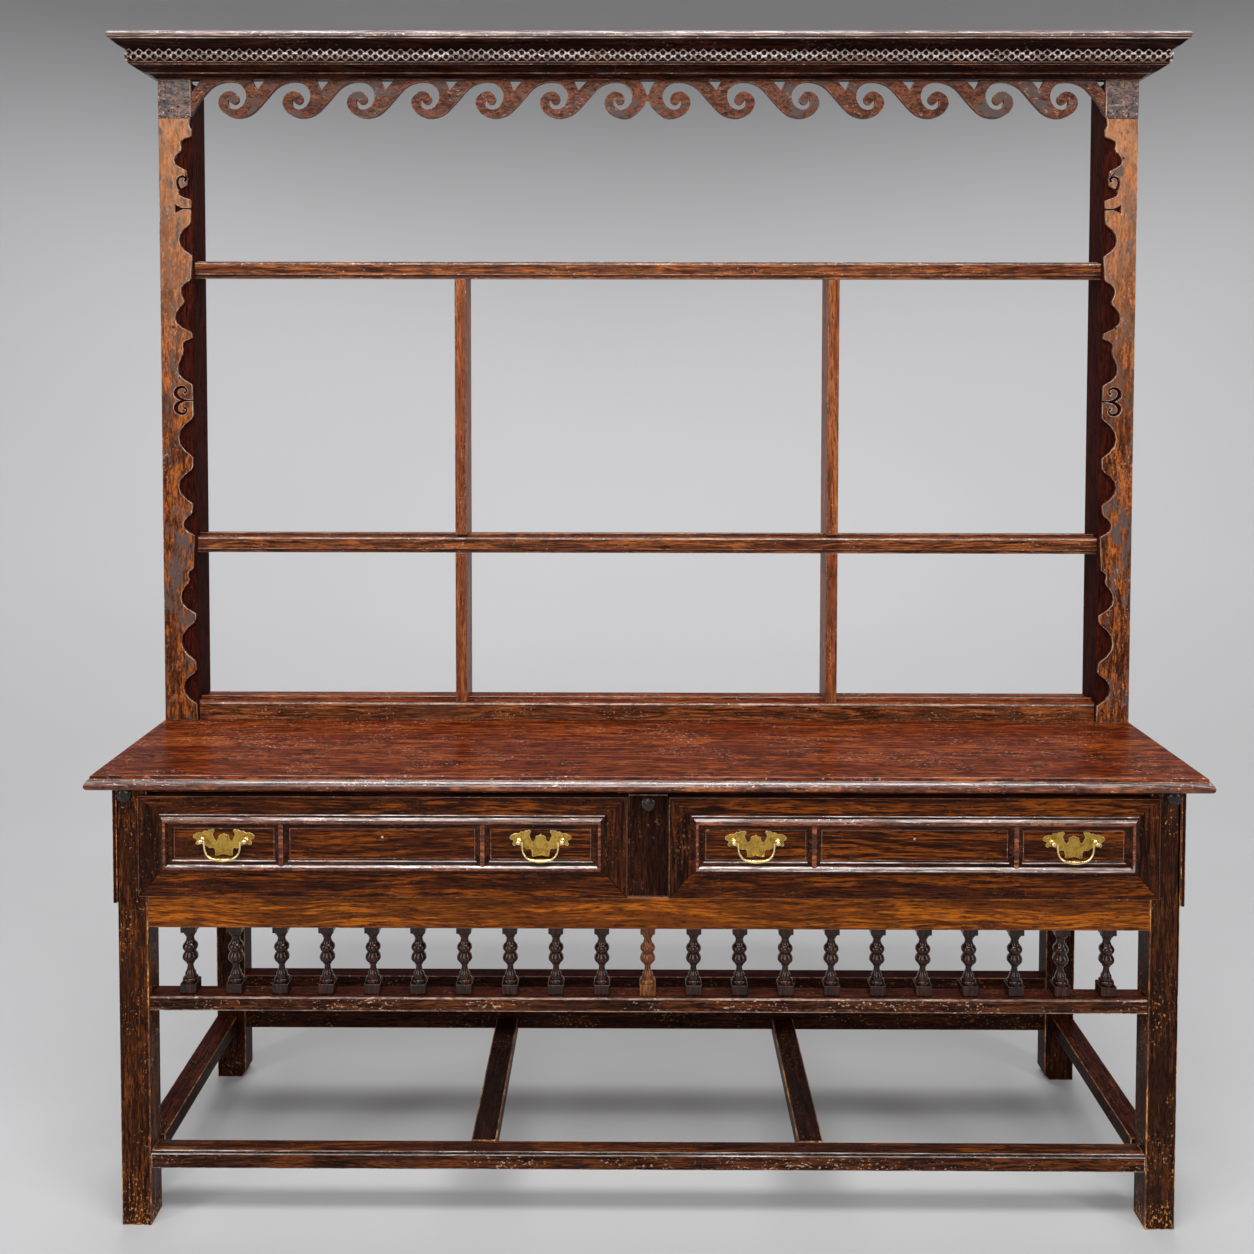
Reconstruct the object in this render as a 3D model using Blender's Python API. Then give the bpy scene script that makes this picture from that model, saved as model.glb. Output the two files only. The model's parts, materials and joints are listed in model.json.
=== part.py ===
"""Open-rack oak dresser: a two-drawer base on legs with a spindle gallery, and a shallow plate rack above it.

Metres, +Z up, +X to the right, the front towards -Y. The origin is on the floor, at the middle of the plan.
Depths are measured backwards from the front edge of the dresser top, and heights upwards from the floor,
or from the dresser top for the rack.
"""

import math

import bmesh
import bpy
from mathutils import Vector

# Clearance between two pieces that touch
GAP = 0.0003

# Front legs and what stands between them
MUNTIN_WIDTH = 0.068
DRAWER_OPENING = 0.834
FRONT_LEG_WIDTH = 0.052
FRONT_LEG_DEPTH = 0.048
SCRATCH_BEAD_WIDTH = 0.0045
SCRATCH_BEAD_DEPTH = 0.0012
PEG_RADIUS = 0.0135
PEG_RISE = 0.0035
PEG_DROP = 0.0155
PEG_OFFSET = 0.014
MUNTIN_PEG_DROP = 0.028
PEG_SIDES = 14

# Back legs
BACK_LEG_WIDTH = 0.060
BACK_LEG_DEPTH = 0.046
BACK_LEG_INSET = 0.015
BACK_LEG_CHAMFER = 0.010
SIDE_LENGTH = 0.394

# Rails, from the floor up
GALLERY_RAIL_BOTTOM = 0.3825
GALLERY_RAIL_HEIGHT = 0.025
GALLERY_RAIL_DEPTH = 0.040
SPINDLE_LENGTH = 0.1225
FRONT_RAIL_HEIGHT = 0.057
FRONT_RAIL_DEPTH = 0.038
DRAWER_LIFT = 0.0015
DRAWER_HEIGHT = 0.176
DRAWER_HEADROOM = 0.002
TOP_RAIL_HEIGHT = 0.0115
TOP_RAIL_DEPTH = 0.040
TOP_RAIL_SETBACK = 0.006

# Dresser top
TOP_THICKNESS = 0.025
TOP_FRONT_OVERHANG = 0.026
TOP_SIDE_OVERHANG = 0.046
TOP_BACK_OVERHANG = 0.006
# Nose of the top from its underside up: setback, then the share of the thickness
TOP_NOSE = ((0.0040, 0.0), (0.0010, 0.12), (0.0, 0.30), (0.0008, 0.54), (0.0040, 0.74), (0.0075, 0.80),
            (0.0080, 0.90), (0.0105, 1.0))

# Stretchers
STRETCHER_BOTTOM = 0.102
STRETCHER_HEIGHT = 0.030
FRONT_STRETCHER_DEPTH = 0.034
SIDE_STRETCHER_WIDTH = 0.043
CROSS_STRETCHER_WIDTH = 0.045
CROSS_STRETCHER_X = 0.290
STRETCHER_ROUND = 0.005
BACK_RAIL_BOTTOM = 0.107
BACK_RAIL_HEIGHT = 0.112
BACK_RAIL_DEPTH = 0.033

# Spindle gallery
SPINDLE_COUNT = 21
SPINDLE_END_GAP = 0.065
SPINDLE_SETBACK = 0.022
SPINDLE_BLOCK = 0.028
SPINDLE_SIDES = 8
# Turned profile between the two square blocks: share of the length up from the foot, then the radius
SPINDLE_PROFILE = ((0.150, 0.0122), (0.205, 0.0124), (0.255, 0.0086), (0.370, 0.0056), (0.430, 0.0078),
                   (0.472, 0.0124), (0.530, 0.0134), (0.585, 0.0094), (0.660, 0.0133), (0.742, 0.0080),
                   (0.790, 0.0065), (0.838, 0.0108), (0.882, 0.0112))
SPINDLE_FOOT_SHARE = 0.140
SPINDLE_HEAD_SHARE = 0.890

# Case boards and runners
END_BOARD_PROUD = 0.008
CASE_SKIRT = 0.014
BACK_BOARD_THICKNESS = 0.012
BACK_BOARD_SETBACK = 0.012
RUNNER_THICKNESS = 0.024
RUNNER_GUIDE = 0.030
RUNNER_LEDGE = 0.023

# Drawers
DRAWER_REVEAL = 0.0018
DRAWER_SIDE_CLEARANCE = 0.0015
DRAWER_OUTER_LIP = 0.0117
DRAWER_LIP_GAP = 0.0005
DRAWER_LIP_THICKNESS = 0.0095
DRAWER_CORE_THICKNESS = 0.012
DRAWER_SIDE_THICKNESS = 0.012
DRAWER_SIDE_DROP = 0.016
DRAWER_BACK_DROP = 0.030
DRAWER_BOTTOM_LIFT = 0.003
DRAWER_BOTTOM_THICKNESS = 0.008
DRAWER_END_GAP = 0.030

# Applied geometric moulding on each drawer front
FRAME_BOTTOM = 0.043
FRAME_HEIGHT = 0.1025
FRAME_SIDE_MARGIN = 0.038
# From the outer edge inwards, with the rise from the drawer face
FRAME_PROFILE = ((0.0, 0.0), (0.0, 0.0024), (0.0030, 0.0028), (0.0042, 0.0060), (0.0080, 0.0084),
                 (0.0125, 0.0084), (0.0155, 0.0058), (0.0165, 0.0034), (0.0225, 0.0016), (0.0225, 0.0))
FRAME_DIVIDER_X = 0.173
FRAME_DIVIDER_WIDTH = 0.022
FRAME_DIVIDER_RISE = 0.0072
FRAME_DIVIDER_POINT = 0.010
FRAME_DIVIDER_LAP = 0.006

# Handles: bat-wing back plate with two posts, and a bail hung between them
PLATE_HEADROOM = 0.0029
PLATE_THICKNESS = 0.0020
# Right half of the plate, from the dome at the middle clockwise, from the line of the posts
PLATE_OUTLINE = ((0.0, 0.0104), (0.0050, 0.0090), (0.0084, 0.0070), (0.0092, 0.0018), (0.0126, -0.0030),
                 (0.0162, 0.0012), (0.0192, 0.0080), (0.0186, 0.0125), (0.0158, 0.0160), (0.0190, 0.0186),
                 (0.0244, 0.0180), (0.0285, 0.0148), (0.0360, 0.0150), (0.0400, 0.0116), (0.0480, 0.0112),
                 (0.0530, 0.0080), (0.0540, 0.0040), (0.0505, 0.0004), (0.0462, -0.0010), (0.0486, -0.0060),
                 (0.0440, -0.0112), (0.0395, -0.0092), (0.0320, -0.0106), (0.0262, -0.0136), (0.0225, -0.0180),
                 (0.0160, -0.0196), (0.0144, -0.0216), (0.0150, -0.0284), (0.0075, -0.0276), (0.0, -0.0252))
POST_SPACING = 0.0755
POST_SIDES = 6
# Post profile: rise from the plate, then the radius
POST_PROFILE = ((0.0, 0.0050), (0.0018, 0.0048), (0.0034, 0.0030), (0.0056, 0.0030), (0.0070, 0.0043),
                (0.0098, 0.0045), (0.0120, 0.0036), (0.0130, 0.0016))
BAIL_STANDOFF = 0.0088
BAIL_CLEARANCE = 0.0005
BAIL_DROP = 0.0325
BAIL_CORNER = 0.020
BAIL_WIRE = 0.0017
BAIL_SWELL = 0.0030
BAIL_SIDES = 6
BAIL_CORNER_STEPS = 5
BAIL_BAR_STEPS = 6

# Plate rack
RACK_BACK_MARGIN = 0.095
RACK_END_INSET = 0.013
POST_WIDTH = 0.057
RACK_DEPTH = 0.082
PILASTER_WIDTH = 0.064
FRET_THICKNESS = 0.007
BACKING_THICKNESS = 0.006
BLOCK_HEIGHT = 0.070
BLOCK_PROUD = 0.001
BLOCK_LAP = 0.001
BOTTOM_SHELF_HEIGHT = 0.0335
LOWER_BAY_HEIGHT = 0.2995
UPPER_BAY_HEIGHT = 0.511
TOP_BAY_HEIGHT = 0.353
SHELF_LIP_HEIGHT = 0.031
SHELF_THICKNESS = 0.022
SHELF_LIP_DEPTH = 0.020
SHELF_LIP_QUIRK = 0.005
SHELF_ARRIS = 0.0025
PLATE_BEAD_SETBACK = 0.031
PLATE_BEAD_WIDTH = 0.006
PLATE_BEAD_HEIGHT = 0.005
DIVIDER_X = 0.368
DIVIDER_THICKNESS = 0.0225
DIVIDER_SETBACK = 0.005

# Bays of the fretted edge from the foot up, as drawn for its whole height: height and inset at the foot of the
# bay, height and inset at its head, greatest inset. Insets run in from the straight edge
FRET_BAYS = ((0.0334, 0.0010, 0.1009, 0.0010, 0.0267), (0.1190, 0.0030, 0.2011, 0.0020, 0.0300),
             (0.2135, 0.0012, 0.2800, 0.0135, 0.0300), (0.2800, 0.0135, 0.3030, 0.0050, 0.0155),
             (0.3689, 0.0020, 0.4131, 0.0070, 0.0240), (0.4310, 0.0045, 0.5029, 0.0040, 0.0316),
             (0.5230, 0.0030, 0.6040, 0.0020, 0.0304), (0.6660, 0.0030, 0.7300, 0.0210, 0.0310),
             (0.7300, 0.0210, 0.7580, 0.0020, 0.0215), (0.7680, 0.0030, 0.8290, 0.0175, 0.0355),
             (0.8290, 0.0175, 0.8720, 0.0040, 0.0240), (0.9180, 0.0010, 0.9829, 0.0035, 0.0260),
             (1.0271, 0.0020, 1.0560, 0.0090, 0.0270), (1.0840, 0.0100, 1.1240, 0.0210, 0.0340),
             (1.1240, 0.0210, 1.1500, 0.0010, 0.0215), (1.1630, 0.0000, 1.1878, 0.0025, 0.0045))
# Hollow of every bay: share of its height, then of its depth
BAY_HOLLOW = ((0.06, 0.20), (0.16, 0.57), (0.32, 0.92), (0.48, 1.0), (0.64, 0.91), (0.80, 0.58), (0.92, 0.15))
# Sawn slots that leave the volutes: inset, height from the middle of the slot, half width
PAIRED_VOLUTE = ((-0.004, 0.0, 0.0011), (0.014, 0.0004, 0.0011), (0.027, 0.0030, 0.0028),
                 (0.0355, 0.0110, 0.0042), (0.0350, 0.0200, 0.0036), (0.0275, 0.0260, 0.0027),
                 (0.0185, 0.0250, 0.0020), (0.0145, 0.0185, 0.0015), (0.0195, 0.0140, 0.0021))
SINGLE_VOLUTE = ((0.0240, -0.0170, 0.0035), (0.0280, -0.0050, 0.0027), (0.0258, 0.0050, 0.0022),
                 (0.0180, 0.0085, 0.0019), (0.0115, 0.0040, 0.0015), (0.0145, -0.0015, 0.0017))
ARROW_SLOT = ((-0.004, 0.0, 0.0012), (0.018, 0.0, 0.0013), (0.0235, 0.0, 0.0028), (0.0335, 0.0, 0.0095))
FRET_END = 0.0012
# Bays that the slots stand over, and how far over the middle of the gap to the next bay
PAIRED_VOLUTE_BAY = 6
SINGLE_VOLUTE_BAY = 12
ARROW_SLOT_BAY = 11
SINGLE_VOLUTE_SHIFT = -0.0064
ARROW_SLOT_SHIFT = 0.0044

# Running scroll frieze: one scroll about its eye, for the left half
SCROLLS_PER_SIDE = 7
FIRST_SCROLL = 0.0535
END_SCROLL = 0.083
FRIEZE_THICKNESS = 0.012
FRIEZE_SETBACK = 0.001
SCROLL_EYE_DROP = 0.0375
SCROLL_GAP_OUTER = ((-0.008, 0.0340), (0.009, 0.0310), (0.021, 0.0190), (0.0240, 0.003), (0.016, -0.0135),
                    (0.002, -0.0193), (-0.009, -0.0145), (-0.0122, -0.004))
SCROLL_NOTCH = (-0.0102, 0.0010)
SCROLL_BODY = ((-0.0070, -0.0060), (0.001, -0.0098), (0.0093, -0.003), (0.0075, 0.0075), (-0.002, 0.015),
               (-0.014, 0.0152), (-0.026, 0.0065), (-0.0304, -0.008), (-0.0210, -0.0253), (0.001, -0.0357),
               (0.022, -0.034), (0.040, -0.0245))
# Arm that climbs to the next crest, measured from the next scroll's eye
SCROLL_ARM = ((-0.0630, -0.001), (-0.0435, 0.021), (-0.0255, 0.0310))
SCROLL_WEDGE = ((0.0358, None), (0.0448, 0.0180), (0.0617, None))
MIDDLE_SCROLL_CLOSING = ((0.0440, -0.0150), (0.0500, -0.0030))
MIDDLE_NECK = (0.0, 0.0080)
MIDDLE_SCROLL_BACK = ((0.0492, 0.0170), (0.0430, 0.0300), (0.0364, None))
END_PIECE_TOP = 0.012
END_PIECE_BOTTOM = -0.031
END_PIECE_RUN = 0.0637
END_PIECE_CURVE = ((-0.0690, -0.006), (-0.0450, 0.0215), (-0.0260, 0.0315))
CURVE_STEPS = 2

# Cornice, as projection from the rack and height above its foot
CORNICE_PROFILE = ((0.0020, 0.0), (0.0055, 0.0045), (0.0150, 0.0080), (0.0280, 0.0130), (0.0385, 0.0200),
                   (0.0412, 0.0240), (0.0450, 0.0270), (0.0470, 0.0355), (0.0450, 0.0440), (0.0445, 0.0475),
                   (0.0560, 0.0535), (0.0655, 0.0617), (0.0685, 0.0650), (0.0700, 0.0705), (0.0685, 0.0760))
CORNICE_WALL = 0.018
DUST_BOARD_THICKNESS = 0.014
DUST_BOARD_LIFT = 0.034

# Places worked out from the sizes above
MUNTIN_HALF = MUNTIN_WIDTH / 2
LEG_INNER = MUNTIN_HALF + DRAWER_OPENING
LEG_OUTER = LEG_INNER + FRONT_LEG_WIDTH
BACK_LEG_OUTER = LEG_OUTER - BACK_LEG_INSET
BACK_LEG_INNER = BACK_LEG_OUTER - BACK_LEG_WIDTH
FRONT_LEG_BACK = TOP_FRONT_OVERHANG + FRONT_LEG_DEPTH
BACK_LEG_FACE = FRONT_LEG_BACK + SIDE_LENGTH
TOP_DEPTH = BACK_LEG_FACE + BACK_LEG_DEPTH + TOP_BACK_OVERHANG
TOP_HALF_WIDTH = LEG_OUTER + TOP_SIDE_OVERHANG
GALLERY_RAIL_TOP = GALLERY_RAIL_BOTTOM + GALLERY_RAIL_HEIGHT
FRONT_RAIL_BOTTOM = GALLERY_RAIL_TOP + SPINDLE_LENGTH
FRONT_RAIL_TOP = FRONT_RAIL_BOTTOM + FRONT_RAIL_HEIGHT
DRAWER_BOTTOM = FRONT_RAIL_TOP + DRAWER_LIFT
TOP_RAIL_BOTTOM = DRAWER_BOTTOM + DRAWER_HEIGHT + DRAWER_HEADROOM
TOP_UNDERSIDE = TOP_RAIL_BOTTOM + TOP_RAIL_HEIGHT
TOP_HEIGHT = TOP_UNDERSIDE + TOP_THICKNESS
CASE_BOTTOM = FRONT_RAIL_TOP - CASE_SKIRT
FRAME_WIDTH = FRAME_PROFILE[-1][0]
DRAWER_INNER_EDGE = MUNTIN_HALF + DRAWER_REVEAL
DRAWER_OUTER_EDGE = LEG_INNER + DRAWER_OUTER_LIP
DRAWER_CENTRE = (DRAWER_INNER_EDGE + DRAWER_OUTER_EDGE) / 2
DRAWER_FACE = TOP_FRONT_OVERHANG - DRAWER_LIP_GAP - DRAWER_LIP_THICKNESS
BACK_BOARD_FACE = BACK_LEG_FACE + BACK_BOARD_SETBACK
RACK_FRONT = TOP_DEPTH - RACK_BACK_MARGIN - RACK_DEPTH - FRET_THICKNESS - BACKING_THICKNESS
RACK_HALF_WIDTH = TOP_HALF_WIDTH - RACK_END_INSET
RACK_POST_INNER = RACK_HALF_WIDTH - POST_WIDTH
PILASTER_INNER = RACK_HALF_WIDTH - PILASTER_WIDTH
SHELF_FRONT = FRET_THICKNESS + BACKING_THICKNESS + GAP
RACK_BACK = SHELF_FRONT + RACK_DEPTH
MIDDLE_SHELF_TOP = BOTTOM_SHELF_HEIGHT + LOWER_BAY_HEIGHT + SHELF_LIP_HEIGHT
TOP_SHELF_TOP = MIDDLE_SHELF_TOP + UPPER_BAY_HEIGHT + SHELF_LIP_HEIGHT
RACK_HEIGHT = TOP_SHELF_TOP + TOP_BAY_HEIGHT
SIDES = {"left": -1, "right": 1}


def clear_scene():
    for obj in list(bpy.data.objects):
        bpy.data.objects.remove(obj)


def material(name, colour, roughness, metallic=0.0):
    mat = bpy.data.materials.new(name)
    mat.use_nodes = True
    surface = mat.node_tree.nodes["Principled BSDF"]
    surface.inputs["Base Color"].default_value = (*colour, 1.0)
    surface.inputs["Roughness"].default_value = roughness
    surface.inputs["Metallic"].default_value = metallic
    mat.diffuse_color = (*colour, 1.0)
    return mat


def empty(name, location, parent=None):
    obj = bpy.data.objects.new(name, None)
    bpy.context.collection.objects.link(obj)
    obj.location = location
    obj.parent = parent
    return obj


def finish(name, bm, mat, parent, location=(0, 0, 0)):
    """Makes an object of a closed mesh, with its faces turned outwards."""
    bmesh.ops.recalc_face_normals(bm, faces=bm.faces)
    mesh = bpy.data.meshes.new(name)
    bm.to_mesh(mesh)
    bm.free()
    mesh.materials.append(mat)
    obj = bpy.data.objects.new(name, mesh)
    bpy.context.collection.objects.link(obj)
    obj.parent = parent
    obj.location = location
    return obj


def smooth(obj, angle=40):
    obj.data.shade_smooth()
    obj.data.set_sharp_from_angle(angle=math.radians(angle))
    return obj


def skin(loops, closed=False):
    """Joins loops of equally many points with faces, and caps the two ends unless the run closes on itself."""
    bm = bmesh.new()
    rings = [[bm.verts.new(point) for point in loop] for loop in loops]
    count = len(rings[0])
    pairs = list(zip(rings, rings[1:])) + ([(rings[-1], rings[0])] if closed else [])
    for lower, upper in pairs:
        for i in range(count):
            j = (i + 1) % count
            bm.faces.new((lower[i], lower[j], upper[j], upper[i]))
    if not closed:
        bm.faces.new(rings[0])
        bm.faces.new(rings[-1])
    return bm


def prism(name, outline, axis, low, high, mat, parent, location=(0, 0, 0)):
    """Extrudes a flat outline along X, Y or Z. The outline gives the other two coordinates in X, Y, Z order."""
    def place(point, along):
        coordinates = list(point)
        coordinates.insert("XYZ".index(axis), along)
        return coordinates
    loops = [[place(point, along) for point in outline] for along in (low, high)]
    return finish(name, skin(loops), mat, parent, location)


def board(name, x, y, z, mat, parent, location=(0, 0, 0)):
    """A plain board between two corners, each of x, y and z a pair."""
    outline = [(x[0], y[0]), (x[1], y[0]), (x[1], y[1]), (x[0], y[1])]
    return prism(name, outline, "Z", min(z), max(z), mat, parent, location)


def helper(obj):
    obj.hide_render = True
    obj.display_type = "WIRE"
    return obj


def boolean(target, other, operation):
    cut = target.modifiers.new(operation.title() + " " + other.name, "BOOLEAN")
    cut.operation = operation
    cut.object = helper(other)


def join_loops(groups):
    """One mesh that holds a closed skin for each group of loops."""
    whole = bmesh.new()
    for loops in groups:
        piece = skin(loops)
        bmesh.ops.recalc_face_normals(piece, faces=piece.faces)
        mesh = bpy.data.meshes.new("piece")
        piece.to_mesh(mesh)
        piece.free()
        whole.from_mesh(mesh)
        bpy.data.meshes.remove(mesh)
    return whole


def circle(radius, sides, start=0.0):
    return [(radius * math.cos(start + math.tau * i / sides), radius * math.sin(start + math.tau * i / sides))
            for i in range(sides)]


def smooth_curve(points, steps):
    """Open Catmull-Rom curve through the points, with the given number of steps in each stretch."""
    vectors = [Vector(p) for p in points]
    padded = [2 * vectors[0] - vectors[1]] + vectors + [2 * vectors[-1] - vectors[-2]]
    curve = []
    for before, start, end, after in zip(padded, padded[1:], padded[2:], padded[3:]):
        for i in range(steps):
            t = i / steps
            curve.append(0.5 * ((2 * start) + (end - before) * t + (2 * before - 5 * start + 4 * end - after) * t ** 2
                                + (3 * start - before - 3 * end + after) * t ** 3))
    return [tuple(v) for v in curve] + [tuple(vectors[-1])]


def back(depth):
    """World Y of a depth behind the front edge of the dresser top."""
    return depth - TOP_DEPTH / 2


def peg_loops(x, face, z):
    """A domed oak peg head on a face that looks forwards, sunk a little into it."""
    rings = ((1.0, -0.002), (1.0, 0.4 * PEG_RISE), (0.85, 0.8 * PEG_RISE), (0.45, PEG_RISE))
    return [[(x + share * u, face - rise, z + share * v) for u, v in circle(PEG_RADIUS, PEG_SIDES)]
            for share, rise in rings]


def add_peg(obj, x, face, z, mat, parent):
    boolean(obj, finish(obj.name + "_peg", skin(peg_loops(x, face, z)), mat, parent), "UNION")


def build_legs(base, mats):
    for side, s in SIDES.items():
        face = back(TOP_FRONT_OVERHANG)
        bead = LEG_INNER + SCRATCH_BEAD_WIDTH
        outline = [(s * LEG_INNER, face), (s * bead, face),
                   (s * (bead + SCRATCH_BEAD_DEPTH), face + SCRATCH_BEAD_DEPTH),
                   (s * (bead + 2 * SCRATCH_BEAD_DEPTH), face), (s * LEG_OUTER, face),
                   (s * LEG_OUTER, back(FRONT_LEG_BACK)), (s * LEG_INNER, back(FRONT_LEG_BACK))]
        leg = prism("front_leg_" + side, outline, "Z", 0.0, TOP_UNDERSIDE - GAP, mats["leg"], base)
        peg_x = s * (LEG_OUTER - PEG_OFFSET)
        add_peg(leg, peg_x, face, TOP_UNDERSIDE - PEG_DROP, mats["leg"], base)
        front, rear = back(BACK_LEG_FACE), back(BACK_LEG_FACE + BACK_LEG_DEPTH)
        outline = [(s * BACK_LEG_OUTER, 0.0), (s * BACK_LEG_OUTER, TOP_UNDERSIDE - GAP),
                   (s * BACK_LEG_INNER, TOP_UNDERSIDE - GAP), (s * BACK_LEG_INNER, BACK_LEG_CHAMFER),
                   (s * (BACK_LEG_INNER + BACK_LEG_CHAMFER), 0.0)]
        prism("back_leg_" + side, outline, "Y", front, rear, mats["leg"], base)


def build_top(base, mats):
    loops = []
    for inset, share in TOP_NOSE:
        x, front, rear = TOP_HALF_WIDTH - inset, back(inset), back(TOP_DEPTH)
        z = TOP_UNDERSIDE + share * TOP_THICKNESS
        loops.append([(-x, front, z), (x, front, z), (x, rear, z), (-x, rear, z)])
    finish("dresser_top", skin(loops), mats["top"], base)


def build_rails(base, mats):
    face = back(TOP_FRONT_OVERHANG)
    span = LEG_INNER - GAP
    board("front_rail", (-span, span), (face, face + FRONT_RAIL_DEPTH), (FRONT_RAIL_BOTTOM, FRONT_RAIL_TOP),
          mats["rail"], base)
    board("front_top_rail", (-span, span), (face + TOP_RAIL_SETBACK, face + TOP_RAIL_SETBACK + TOP_RAIL_DEPTH),
          (TOP_RAIL_BOTTOM, TOP_UNDERSIDE - GAP), mats["dark"], base)
    muntin = board("drawer_muntin", (-MUNTIN_HALF, MUNTIN_HALF), (face, face + FRONT_RAIL_DEPTH),
                   (FRONT_RAIL_TOP + GAP, TOP_RAIL_BOTTOM - GAP), mats["leg"], base)
    add_peg(muntin, 0.0, face, TOP_UNDERSIDE - MUNTIN_PEG_DROP, mats["leg"], base)


def build_case(base, mats):
    rear = back(BACK_LEG_FACE + BACK_LEG_DEPTH)
    for side, s in SIDES.items():
        outer, inner = s * (LEG_OUTER + END_BOARD_PROUD), s * (BACK_LEG_OUTER + GAP)
        rebate, step = s * (LEG_OUTER + GAP), back(FRONT_LEG_BACK) + GAP
        outline = [(outer, back(TOP_FRONT_OVERHANG)), (outer, rear), (inner, rear), (inner, step), (rebate, step),
                   (rebate, back(TOP_FRONT_OVERHANG))]
        prism("end_board_" + side, outline, "Z", CASE_BOTTOM, TOP_UNDERSIDE - GAP, mats["end"], base)
        top = DRAWER_BOTTOM - GAP
        low, guide = top - RUNNER_THICKNESS, top + RUNNER_GUIDE
        wall, ledge = s * BACK_LEG_OUTER, s * (LEG_INNER - RUNNER_LEDGE)
        outline = [(ledge, low), (wall, low), (wall, guide), (s * LEG_INNER, guide), (s * LEG_INNER, top), (ledge, top)]
        prism("drawer_runner_" + side, outline, "Y", back(FRONT_LEG_BACK) + GAP, back(BACK_LEG_FACE) - GAP,
              mats["inside"], base)
    reach = MUNTIN_HALF + RUNNER_LEDGE
    outline = [(-reach, low), (reach, low), (reach, top), (MUNTIN_HALF, top), (MUNTIN_HALF, guide),
               (-MUNTIN_HALF, guide), (-MUNTIN_HALF, top), (-reach, top)]
    prism("drawer_runner_center", outline, "Y", back(TOP_FRONT_OVERHANG + FRONT_RAIL_DEPTH) + GAP,
          back(BACK_BOARD_FACE) - GAP, mats["inside"], base)
    span = BACK_LEG_INNER - GAP
    board("back_board", (-span, span), (back(BACK_BOARD_FACE), back(BACK_BOARD_FACE + BACK_BOARD_THICKNESS)),
          (CASE_BOTTOM, TOP_UNDERSIDE - GAP), mats["inside"], base)


def build_stretchers(base, mats):
    face = back(TOP_FRONT_OVERHANG)
    heights = (STRETCHER_BOTTOM, STRETCHER_BOTTOM + STRETCHER_HEIGHT)
    span = LEG_INNER - GAP
    rear, rounded = face + FRONT_STRETCHER_DEPTH, STRETCHER_ROUND * math.sin(math.pi / 4)
    outline = [(face, heights[0]), (rear, heights[0]), (rear, heights[1]), (face + STRETCHER_ROUND, heights[1]),
               (face + STRETCHER_ROUND - rounded, heights[1] - STRETCHER_ROUND + rounded),
               (face, heights[1] - STRETCHER_ROUND)]
    prism("front_stretcher", outline, "X", -span, span, mats["rail"], base)
    span = BACK_LEG_INNER - GAP
    back_rail_face = back(BACK_LEG_FACE)
    board("back_rail", (-span, span), (back_rail_face, back_rail_face + BACK_RAIL_DEPTH),
          (BACK_RAIL_BOTTOM, BACK_RAIL_BOTTOM + BACK_RAIL_HEIGHT), mats["rail"], base)
    for side, s in SIDES.items():
        edges = sorted((s * BACK_LEG_OUTER, s * (BACK_LEG_OUTER - SIDE_STRETCHER_WIDTH)))
        board("side_stretcher_" + side, edges, (back(FRONT_LEG_BACK) + GAP, back(BACK_LEG_FACE) - GAP), heights,
              mats["rail"], base)
        middle = s * CROSS_STRETCHER_X
        edges = (middle - CROSS_STRETCHER_WIDTH / 2, middle + CROSS_STRETCHER_WIDTH / 2)
        board("cross_stretcher_" + side, edges, (face + FRONT_STRETCHER_DEPTH + GAP, back_rail_face - GAP), heights,
              mats["rail"], base)


def square_ring(half, sides):
    """Points of a square in the same order and number as a circle's, so that the two can be joined."""
    ring = []
    for u, v in circle(1.0, sides, math.pi / 4):
        reach = half / max(abs(u), abs(v))
        ring.append((u * reach, v * reach))
    return ring


def spindle_loops(x, y, foot, length):
    """One spindle: square block, turned shaft with a ball pair at its middle, square block."""
    half = SPINDLE_BLOCK / 2
    square = square_ring(half, SPINDLE_SIDES)
    rings = [(-0.001, square), (SPINDLE_FOOT_SHARE * length, square)]
    for share, radius in SPINDLE_PROFILE:
        rings.append((share * length, circle(radius, SPINDLE_SIDES, math.pi / 4)))
    rings += [(SPINDLE_HEAD_SHARE * length, square), (length - GAP, square)]
    return [[(x + u, y + v, foot + rise) for u, v in ring] for rise, ring in rings]


def build_gallery(base, mats):
    face = back(TOP_FRONT_OVERHANG)
    span = LEG_INNER - GAP
    rail = board("spindle_gallery", (-span, span), (face, face + GALLERY_RAIL_DEPTH),
                 (GALLERY_RAIL_BOTTOM, GALLERY_RAIL_TOP), mats["spindle"], base)
    last = LEG_INNER - SPINDLE_END_GAP
    pitch = 2 * last / (SPINDLE_COUNT - 1)
    spindles = [spindle_loops(i * pitch - last, face + SPINDLE_SETBACK, GALLERY_RAIL_TOP, SPINDLE_LENGTH)
                for i in range(SPINDLE_COUNT)]
    boolean(rail, finish("spindles", join_loops(spindles), mats["spindle"], base), "UNION")


def frame_ring(profile, half_width, bottom, height):
    """Mitred rectangular moulding on a face that looks forwards, one loop of the profile at each corner."""
    loops = []
    for sx, sz in ((-1, -1), (1, -1), (1, 1), (-1, 1)):
        corner_z = bottom if sz < 0 else bottom + height
        loops.append([(sx * (half_width - inset), -rise, corner_z - sz * inset) for inset, rise in profile])
    return loops


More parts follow.
